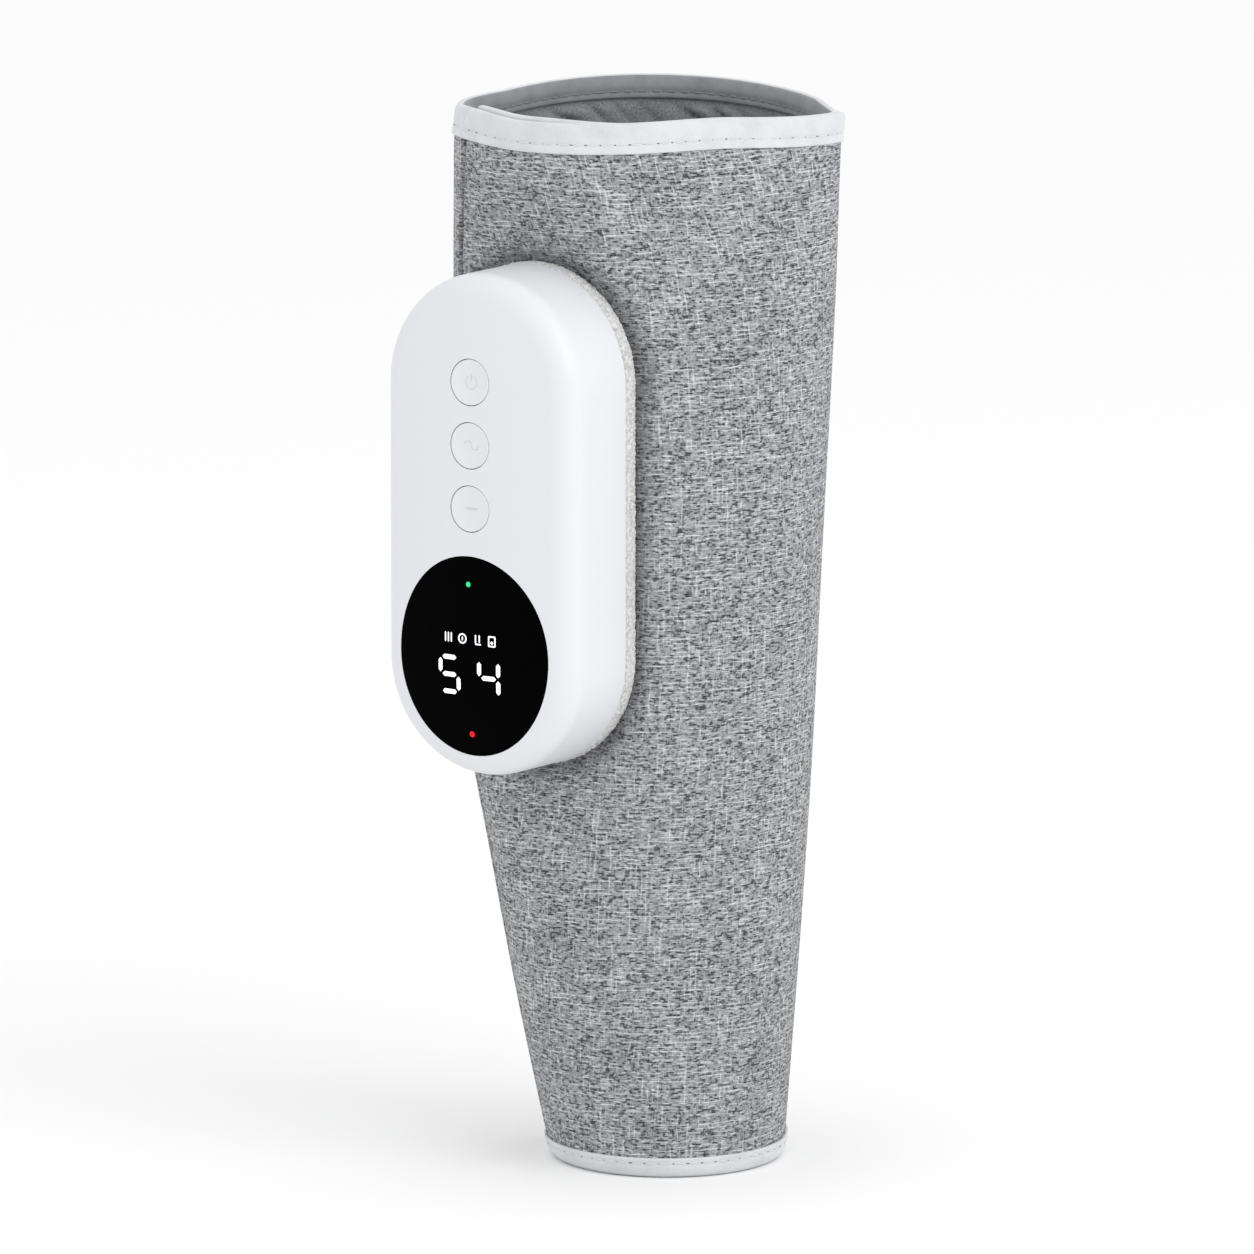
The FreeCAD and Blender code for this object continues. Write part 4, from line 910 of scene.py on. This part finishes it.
def button_cap(name, middle):
    """A button's cap: a dish, a quarter circle over the rim and a straight skirt, carried round its axis."""
    quarter = np.linspace(0, math.pi / 2, 6)
    reach = button_radius - cap_rim + cap_rim * np.sin(quarter)
    reach = np.concatenate([np.linspace(dish_middle, reach[0], dish_rows), reach[1:], reach[-1:]])
    drop = np.concatenate([np.zeros(dish_rows), cap_rim * (1 - np.cos(quarter[1:])), [cap_depth]])
    turn = np.linspace(0, 2 * math.pi, 64, endpoint=False)[:, None]
    across, up = reach * np.cos(turn), middle + reach * np.sin(turn)
    points = pod_point(across, up, button_face(middle)(across, up) - drop)
    return grid_object(name, points[:, ::-1], white_abs, around=True)


power_up, mode_up, level_up = ((np.array(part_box(node + "_button")).mean(axis=0)[2] / MM - pod_z)
                               for node in ("power", "mode", "level"))
power_stroke = bar(0, power_up + 1.9, 2.8, mark_stroke, True)
marks = {
    "power": [*arc(0, power_up, 2.4, mark_stroke, 120, 420, 20), power_stroke],
    "mode": arc(-1.5, mode_up, 1.5, mark_stroke, 0, 180) + arc(1.5, mode_up, 1.5, mark_stroke, 180, 360),
    "level": [bar(0, level_up, 6.0, mark_stroke, False)],
}
for (key_name, shapes), middle in zip(marks.items(), (power_up, mode_up, level_up)):
    cap = button_cap(key_name + "_cap", middle)
    mark = flat_shapes(key_name + "_mark", shapes, mark_lift, mark_white, button_face(middle))
    for piece in (cap, mark):
        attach(piece, key_name + "_key")
    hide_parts(key_name + "_button")

# Inner pieces: what the pod and the wall hold, hidden while the covers are on. Each gets the plain
# finish of its real material.


def plain_finish(name, colour, roughness, grain, metallic):
    """A plain technical material: one colour, a slight mottle from handling and no pattern."""
    spread = 0.15
    material, tree, shader = new_material(name, colour, roughness, Metallic=metallic)
    mottle(tree, shader, grain, 0.0, 1.0, roughness * (1 - spread), min(roughness * (1 + spread), 1))
    return material


# Each row: the material's name, colour, roughness, grain in millimetres and metallic value, and its nodes
finishes = (
    ("white_abs_inside", "#d5d6d9", 0.5, 2.0, 0.0,
     ("rear_cover", "power_plunger", "mode_plunger", "level_plunger")),
    ("clear_film", "#b9bcc0", 0.35, 6.0, 0.0, ("upper_bladder", "lower_bladder")),
    ("amber_heater_film", "#a8672f", 0.3, 6.0, 0.0, ("heating_film",)),
    ("grey_polypropylene", "#6a6c70", 0.55, 3.0, 0.0,
     ("backing_plate", "battery_cradle", "air_manifold", "pump_head")),
    ("board_laminate", "#1f5b38", 0.45, 3.0, 0.0, ("main_board",)),
    ("black_epoxy", "#17181a", 0.4, 1.5, 0.0, ("board_parts", "display_module", "tact_switches")),
    ("zinc_steel", "#a9acb0", 0.3, 1.5, 1.0, ("board_screws", "cover_screws", "plate_screws")),
    ("nickel_steel", "#b6b8bb", 0.25, 1.5, 1.0,
     ("charging_socket", "pump_motor", "vibration_motor", "exhaust_valve", "valve_plunger")),
    ("blue_cell_wrap", "#2d5f9e", 0.4, 4.0, 0.0, ("battery_cells",)),
    ("brass", "#b08d46", 0.3, 1.5, 1.0, ("pump_crank",)),
    ("sintered_iron", "#6f7073", 0.45, 1.0, 1.0, ("vibration_weight",)),
    ("black_rubber", "#202123", 0.7, 2.0, 0.0, ("air_hoses", "heater_leads")),
    ("clear_light_pipe", "#d9dcdf", 0.15, 2.0, 0.0, ("status_lights",)),
)
for *finish, nodes in finishes:
    material = plain_finish(*finish)
    for node in nodes:
        finish_node(node, material)

# Floor, light and camera: a pale seamless floor under soft white studio light, with the key from
# the right, seen from the pod's right and a little above.
floor_half, floor_height = 3000.0, -0.05
floor_edges = [-floor_half, floor_half]
floor_grid = np.stack(np.meshgrid(floor_edges, floor_edges, [floor_height], indexing="ij"), axis=-1)
floor_paint, _, _ = new_material("pale_floor", "#fafafa", 0.9, Specular_IOR_Level=0.0)
floor = grid_object("floor", floor_grid[:, :, 0], floor_paint)
world = bpy.data.worlds.new("studio")
world.use_nodes = True
background = world.node_tree.nodes["Background"].inputs
background["Color"].default_value = (1, 1, 1, 1)
background["Strength"].default_value = 1.0
bpy.context.scene.world = world
bpy.context.scene.view_settings.view_transform = "Standard"


def way(azimuth, elevation):
    """The direction from the object towards a place seen at an azimuth and elevation in degrees."""
    a, e = math.radians(azimuth), math.radians(elevation)
    return np.array([math.sin(a) * math.cos(e), -math.cos(a) * math.cos(e), math.sin(e)])


def face_along(piece, direction):
    """Turns a light or camera to look against a direction."""
    piece.rotation_euler = Vector(direction).to_track_quat("Z", "Y").to_euler()


key_azimuth, key_elevation, key_distance = 80, 35, 1800
key = bpy.data.objects.new("key_light", bpy.data.lights.new("key_light", "AREA"))
key.data.size, key.data.energy = 1.4, 8.5
key_way = way(key_azimuth, key_elevation)
key.location = (ankle + key_way * key_distance) * MM
face_along(key, key_way)
bpy.context.scene.collection.objects.link(key)

view_azimuth, view_elevation, view_distance = 35.0, 10.0, 6000.0
photo_side, pixels_per_mm = 1254, 2.80
target_pixel = (665.5, 631.0)
camera = bpy.data.objects.new("camera", bpy.data.cameras.new("camera"))
view_way = way(view_azimuth, view_elevation)
right_way = way(view_azimuth + 90, 0)
up_way = np.cross(view_way, right_way)
aim = ankle - right_way * (target_pixel[0] - photo_side / 2) / pixels_per_mm
aim = aim + up_way * (target_pixel[1] - photo_side / 2) / pixels_per_mm
camera.location = (aim + view_way * view_distance) * MM
face_along(camera, view_way)
camera.data.sensor_width = 36.0
camera.data.lens = camera.data.sensor_width * pixels_per_mm * view_distance / photo_side
camera.data.clip_end = 100.0
bpy.context.scene.collection.objects.link(camera)
bpy.context.scene.camera = camera
